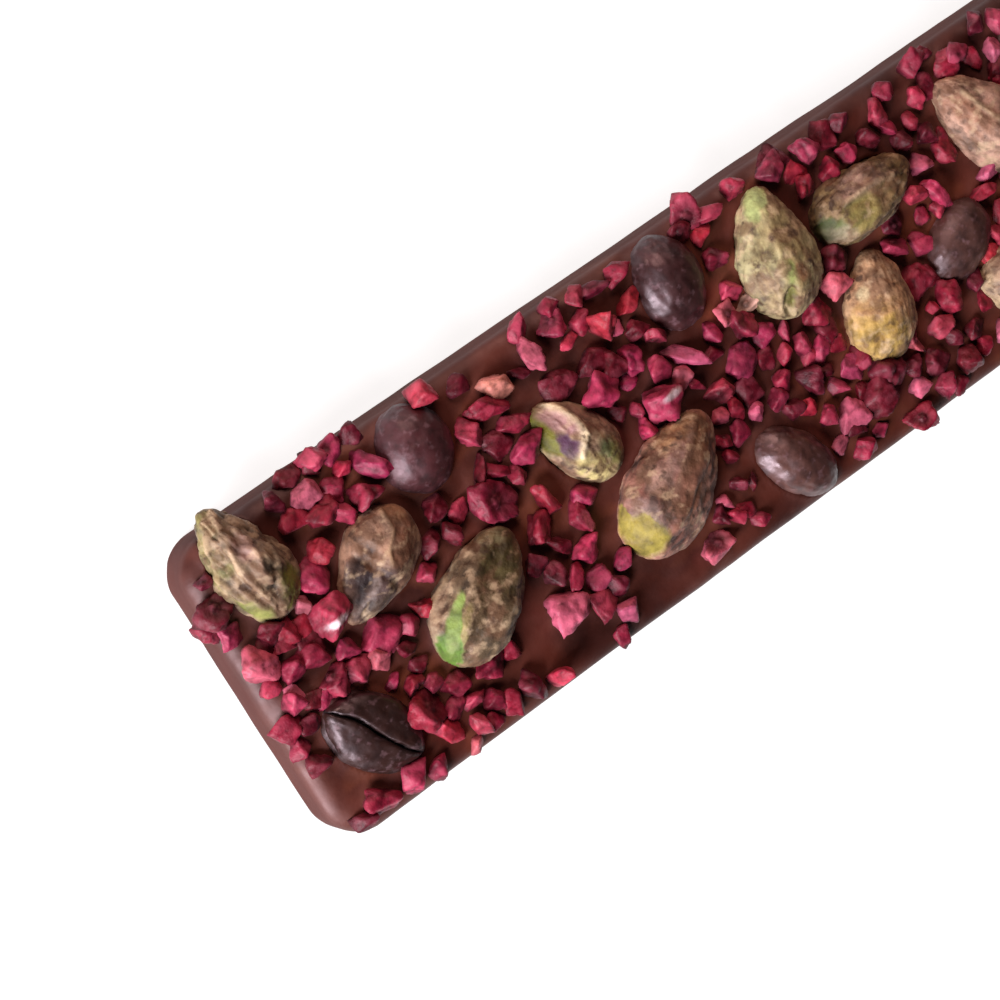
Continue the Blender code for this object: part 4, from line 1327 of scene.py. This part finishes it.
@dataclass
class CrumbLayout:
    """Where every berry crumb lies: single ones, short trails, and a fill over the far half."""

    slab: ChocolateSlab
    seed: int = 7
    sink: float = 0.24
    scale: float = 1.18
    chunk_share: float = 0.62
    flake_share: float = 0.22
    lean_limit: float = 28.0
    lift_limit_mm: float = 0.25
    keep_out: float = 0.55
    waver_mm: float = 0.35
    size_spread: float = 0.14
    tries: int = 2400
    fill_sizes_mm: tuple[float, float, float] = (2.3, 4.9, 3.3)
    fill_from_mm: float = 23.0
    fill_slant: float = 0.62
    bare_pace: float = 0.09
    bare_phase: float = 8.0
    bare_level: float = -0.22
    spacing_mm: float = 3.5
    edge_mm: float = 1.3
    grit_seed: int = 77
    grit_count: int = 90
    grit_sizes_mm: tuple[float, float, float] = (2.1, 3.6, 2.9)
    grit_overlap: float = 0.40
    sparse_share: float = 0.25

    def loose_crumb(self, draw: random.Random, x_mm: float, y_mm: float, size: float) -> list[float]:
        """Draw one broken crumb: a chunk, a flake or a splinter.

        Args:
            draw: Where its dimensions and its turn are drawn from.
            x_mm: Its place along the bar.
            y_mm: Its place across the bar.
            size: Its size in millimetres.

        Returns:
            Its row in the layout.
        """
        kind = draw.random()
        if kind < self.chunk_share:
            dims = (size, size * draw.uniform(0.72, 0.92), size * draw.uniform(0.62, 0.85))
        elif kind < self.chunk_share + self.flake_share:
            dims = (size * 1.05, size * draw.uniform(0.75, 0.95), size * draw.uniform(0.38, 0.5))
        else:
            dims = (size * 1.25, size * draw.uniform(0.5, 0.62), size * draw.uniform(0.5, 0.65))
        yaw = draw.uniform(0.0, 360.0)
        lean = draw.uniform(-self.lean_limit, self.lean_limit)
        return [x_mm, y_mm, *dims, yaw, lean, draw.uniform(0.0, self.lift_limit_mm)]

    def clear_of_toppings(self, x_mm: float, y_mm: float, radius_mm: float) -> tuple[float, float]:
        """Move a crumb out from under any nut or bean that it would lie in.

        Args:
            x_mm: Its place along the bar.
            y_mm: Its place across the bar.
            radius_mm: Its radius.

        Returns:
            Its new place.
        """
        for topping in (*KERNELS, *BEANS):
            along, across = topping.own_frame(x_mm, y_mm)
            reach_along = topping.length_mm / 2.0 + self.keep_out * radius_mm
            reach_across = topping.width_mm / 2.0 + self.keep_out * radius_mm
            inside = math.hypot(along / reach_along, across / reach_across)
            if 0.0 < inside < 1.0:
                x_mm, y_mm = topping.bar_frame(along / inside, across / inside)
        limit_x = 0.5 * self.slab.length_mm - 0.1
        limit_y = 0.5 * self.slab.width_mm - 0.1
        return max(-limit_x, min(limit_x, x_mm)), max(-limit_y, min(limit_y, y_mm))

    def rows(self) -> list[list[float]]:
        """Lay out the crumbs: those that stand out, the trails, and the fill over the far half.

        Returns:
            Each crumb as x, y, three dimensions, yaw, lean and lift, in millimetres and degrees.
        """
        draw = random.Random(self.seed)
        crumbs = [list(row) for row in LANDMARKS]
        for start_x, start_y, end_x, end_y, count, size in TRAILS:
            for step in range(count):
                share = step / (count - 1) if count > 1 else 0.0
                x_mm = start_x + (end_x - start_x) * share + draw.uniform(-1.0, 1.0) * self.waver_mm
                y_mm = start_y + (end_y - start_y) * share + draw.uniform(-1.0, 1.0) * self.waver_mm
                spread = 1.0 + draw.uniform(-self.size_spread, self.size_spread)
                crumbs.append(self.loose_crumb(draw, x_mm, y_mm, size * spread))
        taken = [(row[0], row[1]) for row in crumbs]
        for _ in range(self.tries):
            x_mm = draw.uniform(0.0, 0.5) * self.slab.length_mm
            y_mm = draw.uniform(-0.5, 0.5) * self.slab.width_mm
            size = draw.triangular(*self.fill_sizes_mm)
            if x_mm < self.fill_from_mm + self.fill_slant * y_mm:
                continue
            if self.slab.depth_inside(x_mm, y_mm) < self.edge_mm:
                continue
            patch = Vector((x_mm * self.bare_pace, y_mm * self.bare_pace, self.bare_phase))
            if noise.noise(patch) < self.bare_level:
                continue
            if min(math.hypot(x_mm - x, y_mm - y) for x, y in taken) < self.spacing_mm:
                continue
            taken.append((x_mm, y_mm))
            crumbs.append(self.loose_crumb(draw, x_mm, y_mm, size))
        for row in crumbs:
            row[0], row[1] = self.clear_of_toppings(row[0], row[1], 0.5 * row[2])
        return crumbs

    def grit(self, crumbs: list[list[float]]) -> list[list[float]]:
        """Return small bits that lie against the larger crumbs.

        Args:
            crumbs: The layout of the larger crumbs.

        Returns:
            One row for each bit, as in the layout of the crumbs.
        """
        draw = random.Random(self.grit_seed)
        taken = [(row[0], row[1], row[2]) for row in crumbs]
        bits = []
        for _ in range(40 * self.grit_count):
            if len(bits) == self.grit_count:
                break
            near = draw.choice(crumbs)
            dense = any(math.hypot(near[0] - x, near[1] - y) < reach for x, y, reach in DENSE_SPOTS)
            if draw.random() > (1.0 if dense else self.sparse_share):
                continue
            size = draw.triangular(*self.grit_sizes_mm)
            turn = draw.uniform(0.0, math.tau)
            reach = 0.52 * near[2] + 0.34 * size
            x_mm = near[0] + reach * math.cos(turn)
            y_mm = near[1] + reach * math.sin(turn)
            if self.slab.depth_inside(x_mm, y_mm) < 0.5 * size:
                continue
            gaps = (math.hypot(x_mm - x, y_mm - y) / (size + other) for x, y, other in taken)
            if min(gaps) < self.grit_overlap:
                continue
            if self.clear_of_toppings(x_mm, y_mm, 0.9 * size) != (x_mm, y_mm):
                continue
            taken.append((x_mm, y_mm, size))
            bits.append(self.loose_crumb(draw, x_mm, y_mm, size))
        return bits


TRAILS = (
    (-57.6, 19.9, -49.0, 19.6, 4, 3.3), (-61.0, 18.2, -54.0, 15.8, 3, 3.5),
    (-60.0, 15.4, -57.0, 13.8, 2, 3.5), (-51.2, 13.6, -49.2, 15.6, 2, 3.4),
    (-59.0, 11.0, -61.0, 8.6, 2, 3.8), (-45.2, 7.0, -52.6, -1.2, 4, 3.7),
    (-72.2, 15.0, -72.2, 15.0, 1, 2.6), (-64.4, 6.8, -66.2, 4.2, 2, 3.3),
    (-73.0, 8.8, -69.2, 6.8, 2, 3.6), (-71.2, 4.6, -69.2, 4.4, 2, 2.9),
    (-58.0, -0.8, -58.0, -0.8, 1, 4.5), (-66.2, 1.4, -66.2, -2.0, 2, 4.6),
    (-69.8, 1.2, -73.6, -4.2, 3, 3.7), (-69.2, -2.8, -73.4, -7.0, 3, 3.1),
    (-63.0, -2.8, -56.6, -4.2, 3, 3.2), (-60.4, -6.8, -54.2, -10.8, 4, 3.1),
    (-55.2, -12.8, -49.2, -16.8, 4, 3.3), (-54.0, -16.4, -54.0, -16.4, 1, 3.6),
    (-49.2, -12.0, -49.2, -12.0, 1, 3.8), (-46.0, -17.0, -46.0, -17.0, 1, 3.3),
    (-38.2, -5.2, -31.0, -12.8, 5, 3.4), (-33.2, -14.0, -31.2, -16.0, 2, 3.8),
    (-34.0, 13.8, -36.8, 11.8, 2, 4.4), (-34.2, 9.2, -34.2, 9.2, 1, 3.6),
    (-31.2, 10.0, -31.2, 10.0, 1, 3.6), (-38.0, 8.0, -34.0, 5.2, 3, 3.4),
    (-33.0, -0.2, -36.0, -2.0, 2, 4.2), (-29.0, -1.4, -30.2, -4.0, 2, 3.6),
    (-34.2, -5.0, -32.0, -7.0, 2, 3.4), (-25.4, 18.8, -25.2, 16.0, 2, 3.9),
    (-20.0, 19.2, -11.2, 17.8, 4, 3.2), (-21.0, 17.2, -18.0, 15.8, 2, 3.4),
    (-12.6, 11.2, -11.0, 9.0, 2, 3.2), (-24.2, 11.0, -24.2, 11.0, 1, 4.3),
    (-19.2, 11.0, -14.8, 8.2, 3, 3.8), (-12.0, 5.2, -9.0, 1.2, 3, 3.2),
    (-8.0, 5.0, -8.0, 5.0, 1, 4.8), (-17.8, 0.2, -17.8, 0.2, 1, 3.3),
    (1.0, 18.9, 3.0, 17.4, 2, 4.0), (-1.0, 18.0, 1.0, 16.0, 2, 3.0),
    (8.0, 18.8, 8.0, 18.8, 1, 4.0), (15.0, 18.7, 13.2, 17.4, 2, 3.9),
    (19.0, 17.6, 24.4, 18.0, 3, 3.3), (16.0, 15.8, 16.2, 13.8, 2, 3.4),
    (20.0, 13.8, 27.0, 14.0, 3, 3.4), (30.0, 16.4, 31.0, 11.4, 3, 3.1),
    (1.0, 12.0, 1.0, 12.0, 1, 2.9), (15.0, 4.2, 14.0, 1.2, 2, 4.0),
    (24.4, 3.2, 22.6, 1.4, 2, 3.8), (1.0, 8.2, -3.8, 5.2, 3, 3.6),
    (0.0, 4.0, 2.4, 1.2, 2, 3.6), (3.0, -2.0, 3.0, -2.0, 1, 3.3),
    (-3.0, 1.0, -3.0, 1.0, 1, 4.4), (10.0, 0.0, 7.8, -3.8, 3, 4.0),
    (10.0, -8.0, 14.2, -9.8, 2, 4.6), (1.0, -4.0, 4.2, -6.0, 2, 3.6),
    (-7.0, -1.0, -3.0, -3.2, 2, 3.8), (-1.0, -6.0, 4.0, -10.8, 4, 3.2),
    (7.0, -12.8, 5.8, -16.8, 3, 3.6), (7.0, -9.0, 9.2, -11.0, 2, 2.6),
    (11.0, -13.8, 11.0, -13.8, 1, 5.2), (-9.2, -6.0, -9.2, -6.0, 1, 2.7),
    (-11.0, -11.8, -9.2, -12.4, 2, 2.6), (-15.0, -14.0, -11.4, -15.0, 3, 2.5),
    (17.4, -12.6, 24.0, -15.8, 3, 3.6), (19.6, -16.6, 19.6, -16.6, 1, 3.4),
    (-67.6, 5.4, -62.8, -0.2, 3, 3.5), (-70.8, -1.6, -67.6, -4.4, 2, 3.3),
    (5.8, -1.8, 6.6, -6.8, 3, 3.4), (13.4, -6.2, 9.8, -4.8, 2, 3.5),
)
DENSE_SPOTS = ((-66.0, -1.0, 10.0), (-8.0, 4.0, 13.0), (-50.0, 16.0, 8.0))
LANDMARKS = (
    (-61.0, 4.6, 5.6, 4.0, 5.0, 20.0, 25.0, 0.6),
    (-73.4, 12.2, 4.4, 3.8, 3.8, 10.0, 15.0, 0.4),
    (-74.9, 10.2, 4.6, 2.6, 2.6, -35.0, -10.0, 0.8),
    (-54.2, 20.3, 3.2, 3.0, 3.2, 20.0, 10.0, 0.9),
    (-72.8, 4.0, 4.8, 3.6, 3.0, -50.0, 10.0, 0.0),
    (-60.2, -11.0, 5.2, 4.6, 3.0, 20.0, 20.0, 0.4),
    (-57.8, -15.0, 5.0, 2.4, 2.4, -60.0, 10.0, 0.0),
    (-43.0, -17.4, 2.2, 2.0, 5.2, 0.0, 8.0, 0.0),
    (-64.2, -17.0, 4.8, 3.2, 3.4, 40.0, 20.0, 0.0),
    (-68.8, -17.0, 4.2, 3.2, 2.8, -20.0, 0.0, 0.0),
    (-37.2, -11.8, 5.0, 4.6, 3.2, 10.0, 15.0, 0.0),
    (-40.4, 18.2, 3.2, 2.8, 5.4, 30.0, 10.0, 0.4),
    (-31.0, 15.0, 4.6, 3.0, 2.6, -75.0, 12.0, 0.2),
    (-32.2, 6.8, 4.8, 2.6, 2.8, 20.0, 5.0, 0.2),
    (-39.0, 4.0, 5.6, 4.6, 3.2, -20.0, 20.0, 0.2),
    (-16.0, 13.8, 2.2, 4.0, 5.0, 40.0, 10.0, 0.2),
    (-11.0, 14.0, 5.0, 1.8, 2.2, 32.0, 5.0, 0.0),
    (-20.2, 7.2, 4.8, 4.2, 3.2, 15.0, 15.0, 0.2),
    (-14.2, 2.2, 4.8, 4.0, 3.6, -30.0, 10.0, 0.2),
    (2.0, 5.8, 3.8, 3.0, 2.8, 10.0, 0.0, 0.0),
    (-17.2, -16.2, 4.8, 3.4, 3.2, 10.0, 5.0, 0.0),
)
LANDMARK_TONES = {
    0: Tone.ROSE, 1: Tone.DEEP, 2: Tone.CRIMSON, 4: Tone.PINK, 5: Tone.CRIMSON, 6: Tone.CORAL,
    7: Tone.CORAL, 10: Tone.PINK, 11: Tone.CORAL, 12: Tone.SALMON, 13: Tone.MAGENTA, 14: Tone.CRIMSON,
    15: Tone.CORAL, 16: Tone.CORAL, 17: Tone.ROSE, 18: Tone.ROSE, 19: Tone.BEIGE, 20: Tone.PINK,
}
LANDMARK_FORMS = {
    0: Form.CHUNK, 4: Form.CHUNK, 5: Form.SHELL, 14: Form.SHELL, 15: Form.FLAKE, 16: Form.FLAKE,
    17: Form.CLUSTER, 19: Form.SHELL,
}


def crumb_turn(yaw: float, lean: float) -> Matrix:
    """Return the turn of a crumb that leans over and is then turned round, in degrees."""
    return Matrix.Rotation(math.radians(yaw), 3, "Z") @ Matrix.Rotation(math.radians(lean), 3, "Y")


def cube_ball(cells: int) -> tuple[np.ndarray, list]:
    """Return a unit ball made of a cube's six faces, each cut into cells by cells.

    Args:
        cells: How many cells lie along each face's side.

    Returns:
        Its points and its faces.
    """
    bm = bmesh.new()
    bmesh.ops.create_cube(bm, size=2.0)
    bmesh.ops.subdivide_edges(bm, edges=bm.edges, cuts=cells - 1, use_grid_fill=True)
    bm.verts.ensure_lookup_table()
    points = np.array([vert.co for vert in bm.verts])
    points = np.tan(points * math.pi / 4.0)
    points /= np.linalg.norm(points, axis=1, keepdims=True)
    faces = [tuple(vert.index for vert in face.verts) for face in bm.faces]
    bm.free()
    return points, faces


@dataclass
class BerryCrumbs:
    """All the berry crumbs, built one by one and joined by kind."""

    layout: CrumbLayout
    limits: tuple[np.ndarray, np.ndarray]
    fine_cells: int = 11
    plain_cells: int = 9
    grit_cells: int = 6
    fine_from_mm: float = 3.9
    hardness: float = 20.0
    swell: float = 1.24
    lump_share: float = 0.07
    rough_share: float = 0.05
    lobe_share: float = 0.13
    beads: int = 16
    glints: tuple[tuple[float, float], ...] = ((-62.4, 3.4), (-13.4, 2.6), (10.4, 2.0))
    glint_reach_mm: tuple[float, float] = (1.5, 0.45)
    glint: Colour = tint(236, 214, 222)
    # Pale pink for the crests: partly dust, partly a painted highlight.
    dust_and_highlight: Colour = tint(206, 118, 138)
    tone_weights: tuple[int, ...] = (26, 30, 22, 10, 6, 6)
    shell_share: float = 0.14
    cluster_share: float = 0.22

    def planes(self, row: list[float], index: int) -> tuple[np.ndarray, np.ndarray, float, float]:
        """Return the flat facets of a crumb, round its own centre.

        Args:
            row: The crumb's place and dimensions.
            index: Its number in the layout.

        Returns:
            The facets' outward directions, their distances in millimetres, and the crumb's lowest
            and highest level.
        """
        _, _, size_x, size_y, size_z, yaw, lean, _ = row
        draw = random.Random(1000 + index)
        half = Vector((size_x, size_y, size_z)) * 0.5 * self.layout.scale
        turn = crumb_turn(yaw, lean)
        bm = bmesh.new()
        golden = math.pi * (3.0 - math.sqrt(5.0))
        start = draw.uniform(0.0, math.tau)
        corners = 10 if size_x >= 4.2 else 8
        for corner in range(corners):
            level = 1.0 - 2.0 * (corner + 0.5) / corners
            angle = start + golden * corner + draw.uniform(-0.35, 0.35)
            ring = math.sqrt(1.0 - level * level)
            reach = draw.uniform(0.66, 1.18)
            side = (ring * math.cos(angle) * half.x, ring * math.sin(angle) * half.y)
            bm.verts.new(turn @ (Vector((*side, level * half.z)) * reach))
        bmesh.ops.convex_hull(bm, input=bm.verts)
        bmesh.ops.delete(bm, geom=[vert for vert in bm.verts if not vert.link_faces], context="VERTS")
        bmesh.ops.recalc_face_normals(bm, faces=bm.faces)
        lowest = min(vert.co.z for vert in bm.verts)
        highest = max(vert.co.z for vert in bm.verts)
        normals = np.array([face.normal for face in bm.faces])
        distances = np.array([face.normal.dot(face.verts[0].co) for face in bm.faces])
        bm.free()
        return normals, distances, lowest, highest

    def crumb(self, row: list[float], index: int, form: Form) -> tuple[np.ndarray, list, np.ndarray]:
        """Build one crumb: soft facets with lumps, and a broken face, drupelets or a hollow.

        Args:
            row: The crumb's place and dimensions.
            index: Its number in the layout.
            form: The kind of crumb.

        Returns:
            Its points in millimetres, its faces, and how hollow and how proud each point is, which the
            painted shade and painted highlight follow.
        """
        normals, distances, lowest, highest = self.planes(row, index)
        draw = random.Random(5000 + index)
        cells = self.fine_cells if row[2] >= self.fine_from_mm else self.plain_cells
        if form is Form.GRIT:
            cells = self.grit_cells
        ball, faces = cube_ball(cells)
        ball = (ball * np.array(row[2:5])) @ np.array(crumb_turn(row[5], row[6])).T
        ball /= np.linalg.norm(ball, axis=1, keepdims=True)
        ratios = np.maximum(ball @ normals.T, 0.0) / np.maximum(distances, 0.15)
        reach = self.swell / np.power(np.power(ratios, self.hardness).sum(axis=1), 1.0 / self.hardness)
        lumps = Grain(100 + index).layered(ball * reach[:, None] / 1.5, 2)
        rough = Grain(200 + index).layered(ball * reach[:, None] / 0.6, 2)
        lobes = Grain(250 + index).creased(ball * reach[:, None] / 1.15, 2)
        relief = 1.0 + self.lump_share * lumps + self.rough_share * rough
        reach = reach * (relief + self.lobe_share * (lobes - 0.5))
        hollow = np.zeros(len(ball))
        fresh = np.zeros(len(ball))
        if form is Form.SHELL:
            axis = self.direction(draw, 0.30)
            facing = ball @ axis + 0.10 * lumps
            hollow = smooth(0.34, 0.66, facing)
            depth = 0.46 * float(reach.mean()) * (1.0 + 0.10 * rough)
            rim = 1.0 + 0.08 * np.exp(-((facing - 0.40) / 0.14) ** 2)
            reach = (1.0 - hollow) * reach * rim + hollow * np.minimum(depth, reach)
        elif form is Form.CLUSTER:
            beads = np.array([self.direction(draw, -1.0) for _ in range(self.beads)])
            nearness = (ball @ beads.T).max(axis=1)
            reach = reach * (0.88 + 0.19 * np.sqrt(np.clip((nearness - 0.76) / 0.24, 0.0, 1.0)))
            hollow = 0.75 * (1.0 - smooth(0.76, 0.90, nearness))
        else:
            axis = self.direction(draw, 0.1)
            level = draw.uniform(0.62, 0.92) * float(reach.mean())
            cut = level / np.maximum(ball @ axis, 0.05)
            share = smooth(-0.03, 0.06, (reach - cut) / reach)
            dished = np.minimum(reach, cut) * (1.0 + 0.07 * rough - 0.05 * share)
            reach = (1.0 - share) * reach + share * dished
            pale = draw.choice((0.0, 0.0, 1.0))
            hollow = (1.0 - pale) * share * np.clip(0.30 + 0.5 * rough, 0.0, 0.7)
            fresh = pale * share
        points = ball * reach[:, None]
        ground = self.layout.slab.top_height(row[0], row[1])
        rise = ground - lowest - self.layout.sink * (highest - lowest) + row[7]
        place = np.array((row[0], row[1], rise))
        points = self.fitted(points, place)
        # The creases between the lobes are marked for painted shade, and the lobes' crests for a painted
        # highlight, together with pale broken faces.
        crevice = 1.0 - smooth(0.04, 0.42, lobes)
        proud = np.maximum(0.42 * smooth(0.35, 0.95, lobes), fresh)
        return points, faces, np.column_stack((np.maximum(hollow, 0.62 * crevice), proud))

    def direction(self, draw: random.Random, least_z: float) -> np.ndarray:
        """Draw a direction that doesn't point too far down.

        Args:
            draw: Where it is drawn from.
            least_z: The least height that it has.

        Returns:
            The direction, one long.
        """
        while True:
            axis = np.array([draw.uniform(-1.0, 1.0) for _ in range(3)])
            length = float(np.linalg.norm(axis))
            if 0.1 < length < 1.0 and axis[2] / length >= least_z:
                return axis / length

    def fitted(self, points: np.ndarray, place: np.ndarray) -> np.ndarray:
        """Move a crumb to its place, made smaller if it would stand out of the solid model's box.

        Args:
            points: The crumb's points from its centre.
            place: Its centre.

        Returns:
            The points in their place.
        """
        low, high = self.limits
        moved = points + place
        for _ in range(12):
            if (moved.min(axis=0) >= low).all() and (moved.max(axis=0) <= high).all():
                break
            points = points * 0.98
            moved = points + place
        return np.clip(moved, low, high)

    def tone(self, index: int) -> Tone:
        """Choose the colour of a crumb: its own if it stands out, or one drawn for it.

        Args:
            index: Its number in the layout.

        Returns:
            Its colour.
        """
        if index in LANDMARK_TONES:
            return LANDMARK_TONES[index]
        draw = random.Random(9000 + index)
        tones = (Tone.DEEP, Tone.CRIMSON, Tone.ROSE, Tone.PINK, Tone.CORAL, Tone.MAGENTA)
        return draw.choices(tones, weights=self.tone_weights)[0]

    def form(self, row: list[float], index: int) -> Form:
        """Choose the kind of a crumb: its own if it stands out, or one that suits its dimensions.

        Args:
            row: The crumb's place and dimensions.
            index: Its number in the layout.

        Returns:
            Its kind.
        """
        if index in LANDMARK_FORMS:
            return LANDMARK_FORMS[index]
        if row[4] < 0.55 * row[2]:
            return Form.FLAKE
        chance = random.Random(7000 + index).random()
        if chance < self.shell_share:
            return Form.SHELL
        return Form.CLUSTER if chance < self.shell_share + self.cluster_share else Form.CHUNK

    def paint(self, points: np.ndarray, marks: np.ndarray, index: int) -> np.ndarray:
        """Colour one crumb: its own tone, with painted shade in its hollows and creases and towards its
        foot, a painted highlight mixed with dust where it stands proud, and painted glints.

        Args:
            points: Its points in millimetres.
            marks: How hollow and how proud each point is.
            index: Its number in the layout.

        Returns:
            One colour for each point.
        """
        draw = random.Random(3000 + index)
        base = np.array(self.tone(index).value)
        base = base * np.array([draw.uniform(0.84, 1.14), draw.uniform(0.8, 1.15), draw.uniform(0.8, 1.12)])
        drift = Grain(300 + index).layered(points / 1.3, 2)[:, None]
        # Painted shade: the crumb is darker in its shell hollows and in the creases between its lobes;
        # broken faces are darkened or paled at random.
        colours = base * (0.92 + 0.30 * drift) * (1.0 - 0.74 * marks[:, :1])
        # Painted highlight mixed with dust: the crests where the crumb stands proud are painted lighter and
        # pinker.
        crest = 0.55 * marks[:, 1:] * np.clip(1.0 + drift, 0.3, 1.6)
        colours = laid_over(colours, crest[:, 0], 0.40 * np.array(self.dust_and_highlight) + 0.85 * base)
        # Painted shade: each crumb is darker towards its foot, where it meets the chocolate.
        level = (points[:, 2] - points[:, 2].min()) / np.ptp(points[:, 2])
        colours = colours * (0.36 + 0.72 * smooth(0.15, 0.80, level))[:, None]
        long_way, short_way = self.glint_reach_mm
        for glint_x, glint_y in self.glints:
            gap = np.hypot((points[:, 0] - glint_x) / long_way, (points[:, 1] - glint_y) / short_way)
            share = smooth(1.4, 0.6, gap) * smooth(8.4, 9.4, points[:, 2])
            colours = laid_over(colours, share, self.glint)
        return colours

    def build(self) -> list[bpy.types.Object]:
        """Build every crumb and join them into one piece for each kind.

        Returns:
            The pieces.
        """
        rows = self.layout.rows()
        stacks = {form: ([], [], []) for form in Form}
        counts = dict.fromkeys(Form, 0)
        jobs = [(row, index, self.form(row, index)) for index, row in enumerate(rows)]
        jobs += [(row, 4000 + index, Form.GRIT) for index, row in enumerate(self.layout.grit(rows))]
        for row, index, form in jobs:
            points, faces, marks = self.crumb(row, index, form)
            first = counts[form]
            stacks[form][0].append(points)
            stacks[form][1].extend(tuple(first + number for number in face) for face in faces)
            stacks[form][2].append(self.paint(points, marks, index))
            counts[form] += len(points)
        pieces = []
        for form, (points, faces, colours) in stacks.items():
            pieces.append(add_piece(form.value, np.vstack(points) * MM, faces, np.vstack(colours)))
        return pieces


@dataclass(frozen=True)
class SoftLight:
    """A soft rectangular light that shines at a point."""

    name: str
    place: Place
    aim: Place
    wide: float
    tall: float
    watts: float
    colour: Colour

    def build(self) -> None:
        """Hang the light."""
        light = bpy.data.lights.new(self.name, "AREA")
        light.shape = "RECTANGLE"
        light.size = self.wide
        light.size_y = self.tall
        light.energy = self.watts
        light.color = self.colour
        lamp = bpy.data.objects.new(self.name, light)
        lamp.location = self.place
        lamp.rotation_euler = (Vector(self.aim) - Vector(self.place)).to_track_quat("-Z", "Y").to_euler()
        bpy.context.scene.collection.objects.link(lamp)


@dataclass
class Studio:
    """A pale floor, soft light and the camera."""

    floor_size: float = 4.0
    floor_colour: Colour = (0.30, 0.30, 0.30)
    floor_glow: float = 0.84
    room_colour: Colour = (1.0, 0.97, 0.98)
    room_glow: float = 0.02
    lights: tuple[SoftLight, ...] = (
        SoftLight("window", (-0.65, -0.14, 0.30), (-0.02, 0.0, 0.0), 0.28, 0.46, 10.4, (1.0, 0.95, 0.98)),
        SoftLight("side_window", (0.05, 0.62, 0.46), (0.0, 0.0, 0.0), 0.40, 0.40, 3.2, (1.0, 0.66, 0.56)),
    )
    camera_mm: Place = (-149.906, 74.32, 328.474)
    camera_turn: Place = (0.006326, -0.391957, -0.579018)
    lens_mm: float = 108.0
    sensor_mm: float = 36.0

    def build(self) -> None:
        """Lay the floor, hang the lights and set the camera."""
        bpy.ops.mesh.primitive_plane_add(size=self.floor_size, location=(0.0, 0.0, 0.0))
        floor = bpy.context.object
        floor.name = "pale_floor"
        shader = Shader("pale_floor")
        shader.set(Base_Color=self.floor_colour, Emission_Color=(1.0, 1.0, 1.0))
        shader.set(Roughness=0.9, Emission_Strength=self.floor_glow)
        floor.data.materials.append(shader.material)
        floor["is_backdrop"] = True

        for light in self.lights:
            light.build()
        world = bpy.data.worlds.new("room")
        world.use_nodes = True
        background = world.node_tree.nodes["Background"]
        background.inputs["Color"].default_value = (*self.room_colour, 1.0)
        background.inputs["Strength"].default_value = self.room_glow
        bpy.context.scene.world = world
        bpy.context.scene.view_settings.view_transform = "Standard"

        lens = bpy.data.cameras.new("camera")
        lens.lens = self.lens_mm
        lens.sensor_width = self.sensor_mm
        lens.clip_start = 0.01
        lens.clip_end = 20.0
        camera = bpy.data.objects.new("camera", lens)
        camera.location = Vector(self.camera_mm) * MM
        camera.rotation_euler = Euler(self.camera_turn)
        bpy.context.scene.collection.objects.link(camera)
        bpy.context.scene.camera = camera


def box_rows(bounds: tuple) -> list[list[float]]:
    """Return a box's two corners as plain lists of numbers."""
    return [[float(value) for value in corner] for corner in bounds]


def main() -> None:
    """Build and dress every piece of the bar, then the studio round it."""
    logging.basicConfig(level=logging.INFO, format="%(name)s: %(message)s")
    solid_box = box_rows(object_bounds())
    limits = (np.array(solid_box[0]) / MM + BOX_MARGIN_MM, np.array(solid_box[1]) / MM - BOX_MARGIN_MM)
    slab = ChocolateSlab()
    layout = CrumbLayout(slab)
    crumbs = layout.rows()

    bar = slab.build(crumbs)
    bar.data.materials.append(ChocolateFinish().material())
    declare(bar, ["chocolate_slab"])

    berry = BerryFinish().material()
    for piece in BerryCrumbs(layout, limits).build():
        piece.data.materials.append(berry)
        declare(piece, ["chocolate_slab"])

    skin = SkinFinish().material()
    for kernel in KERNELS:
        piece = kernel.build(limits)
        piece.data.materials.append(skin)
        declare(piece, [kernel.name])

    for bean, roast in zip(BEANS, ROASTS):
        piece = bean.build()
        piece.data.materials.append(roast.material())
        declare(piece, [bean.name])

    Studio().build()


if __name__ == "__main__":
    main()
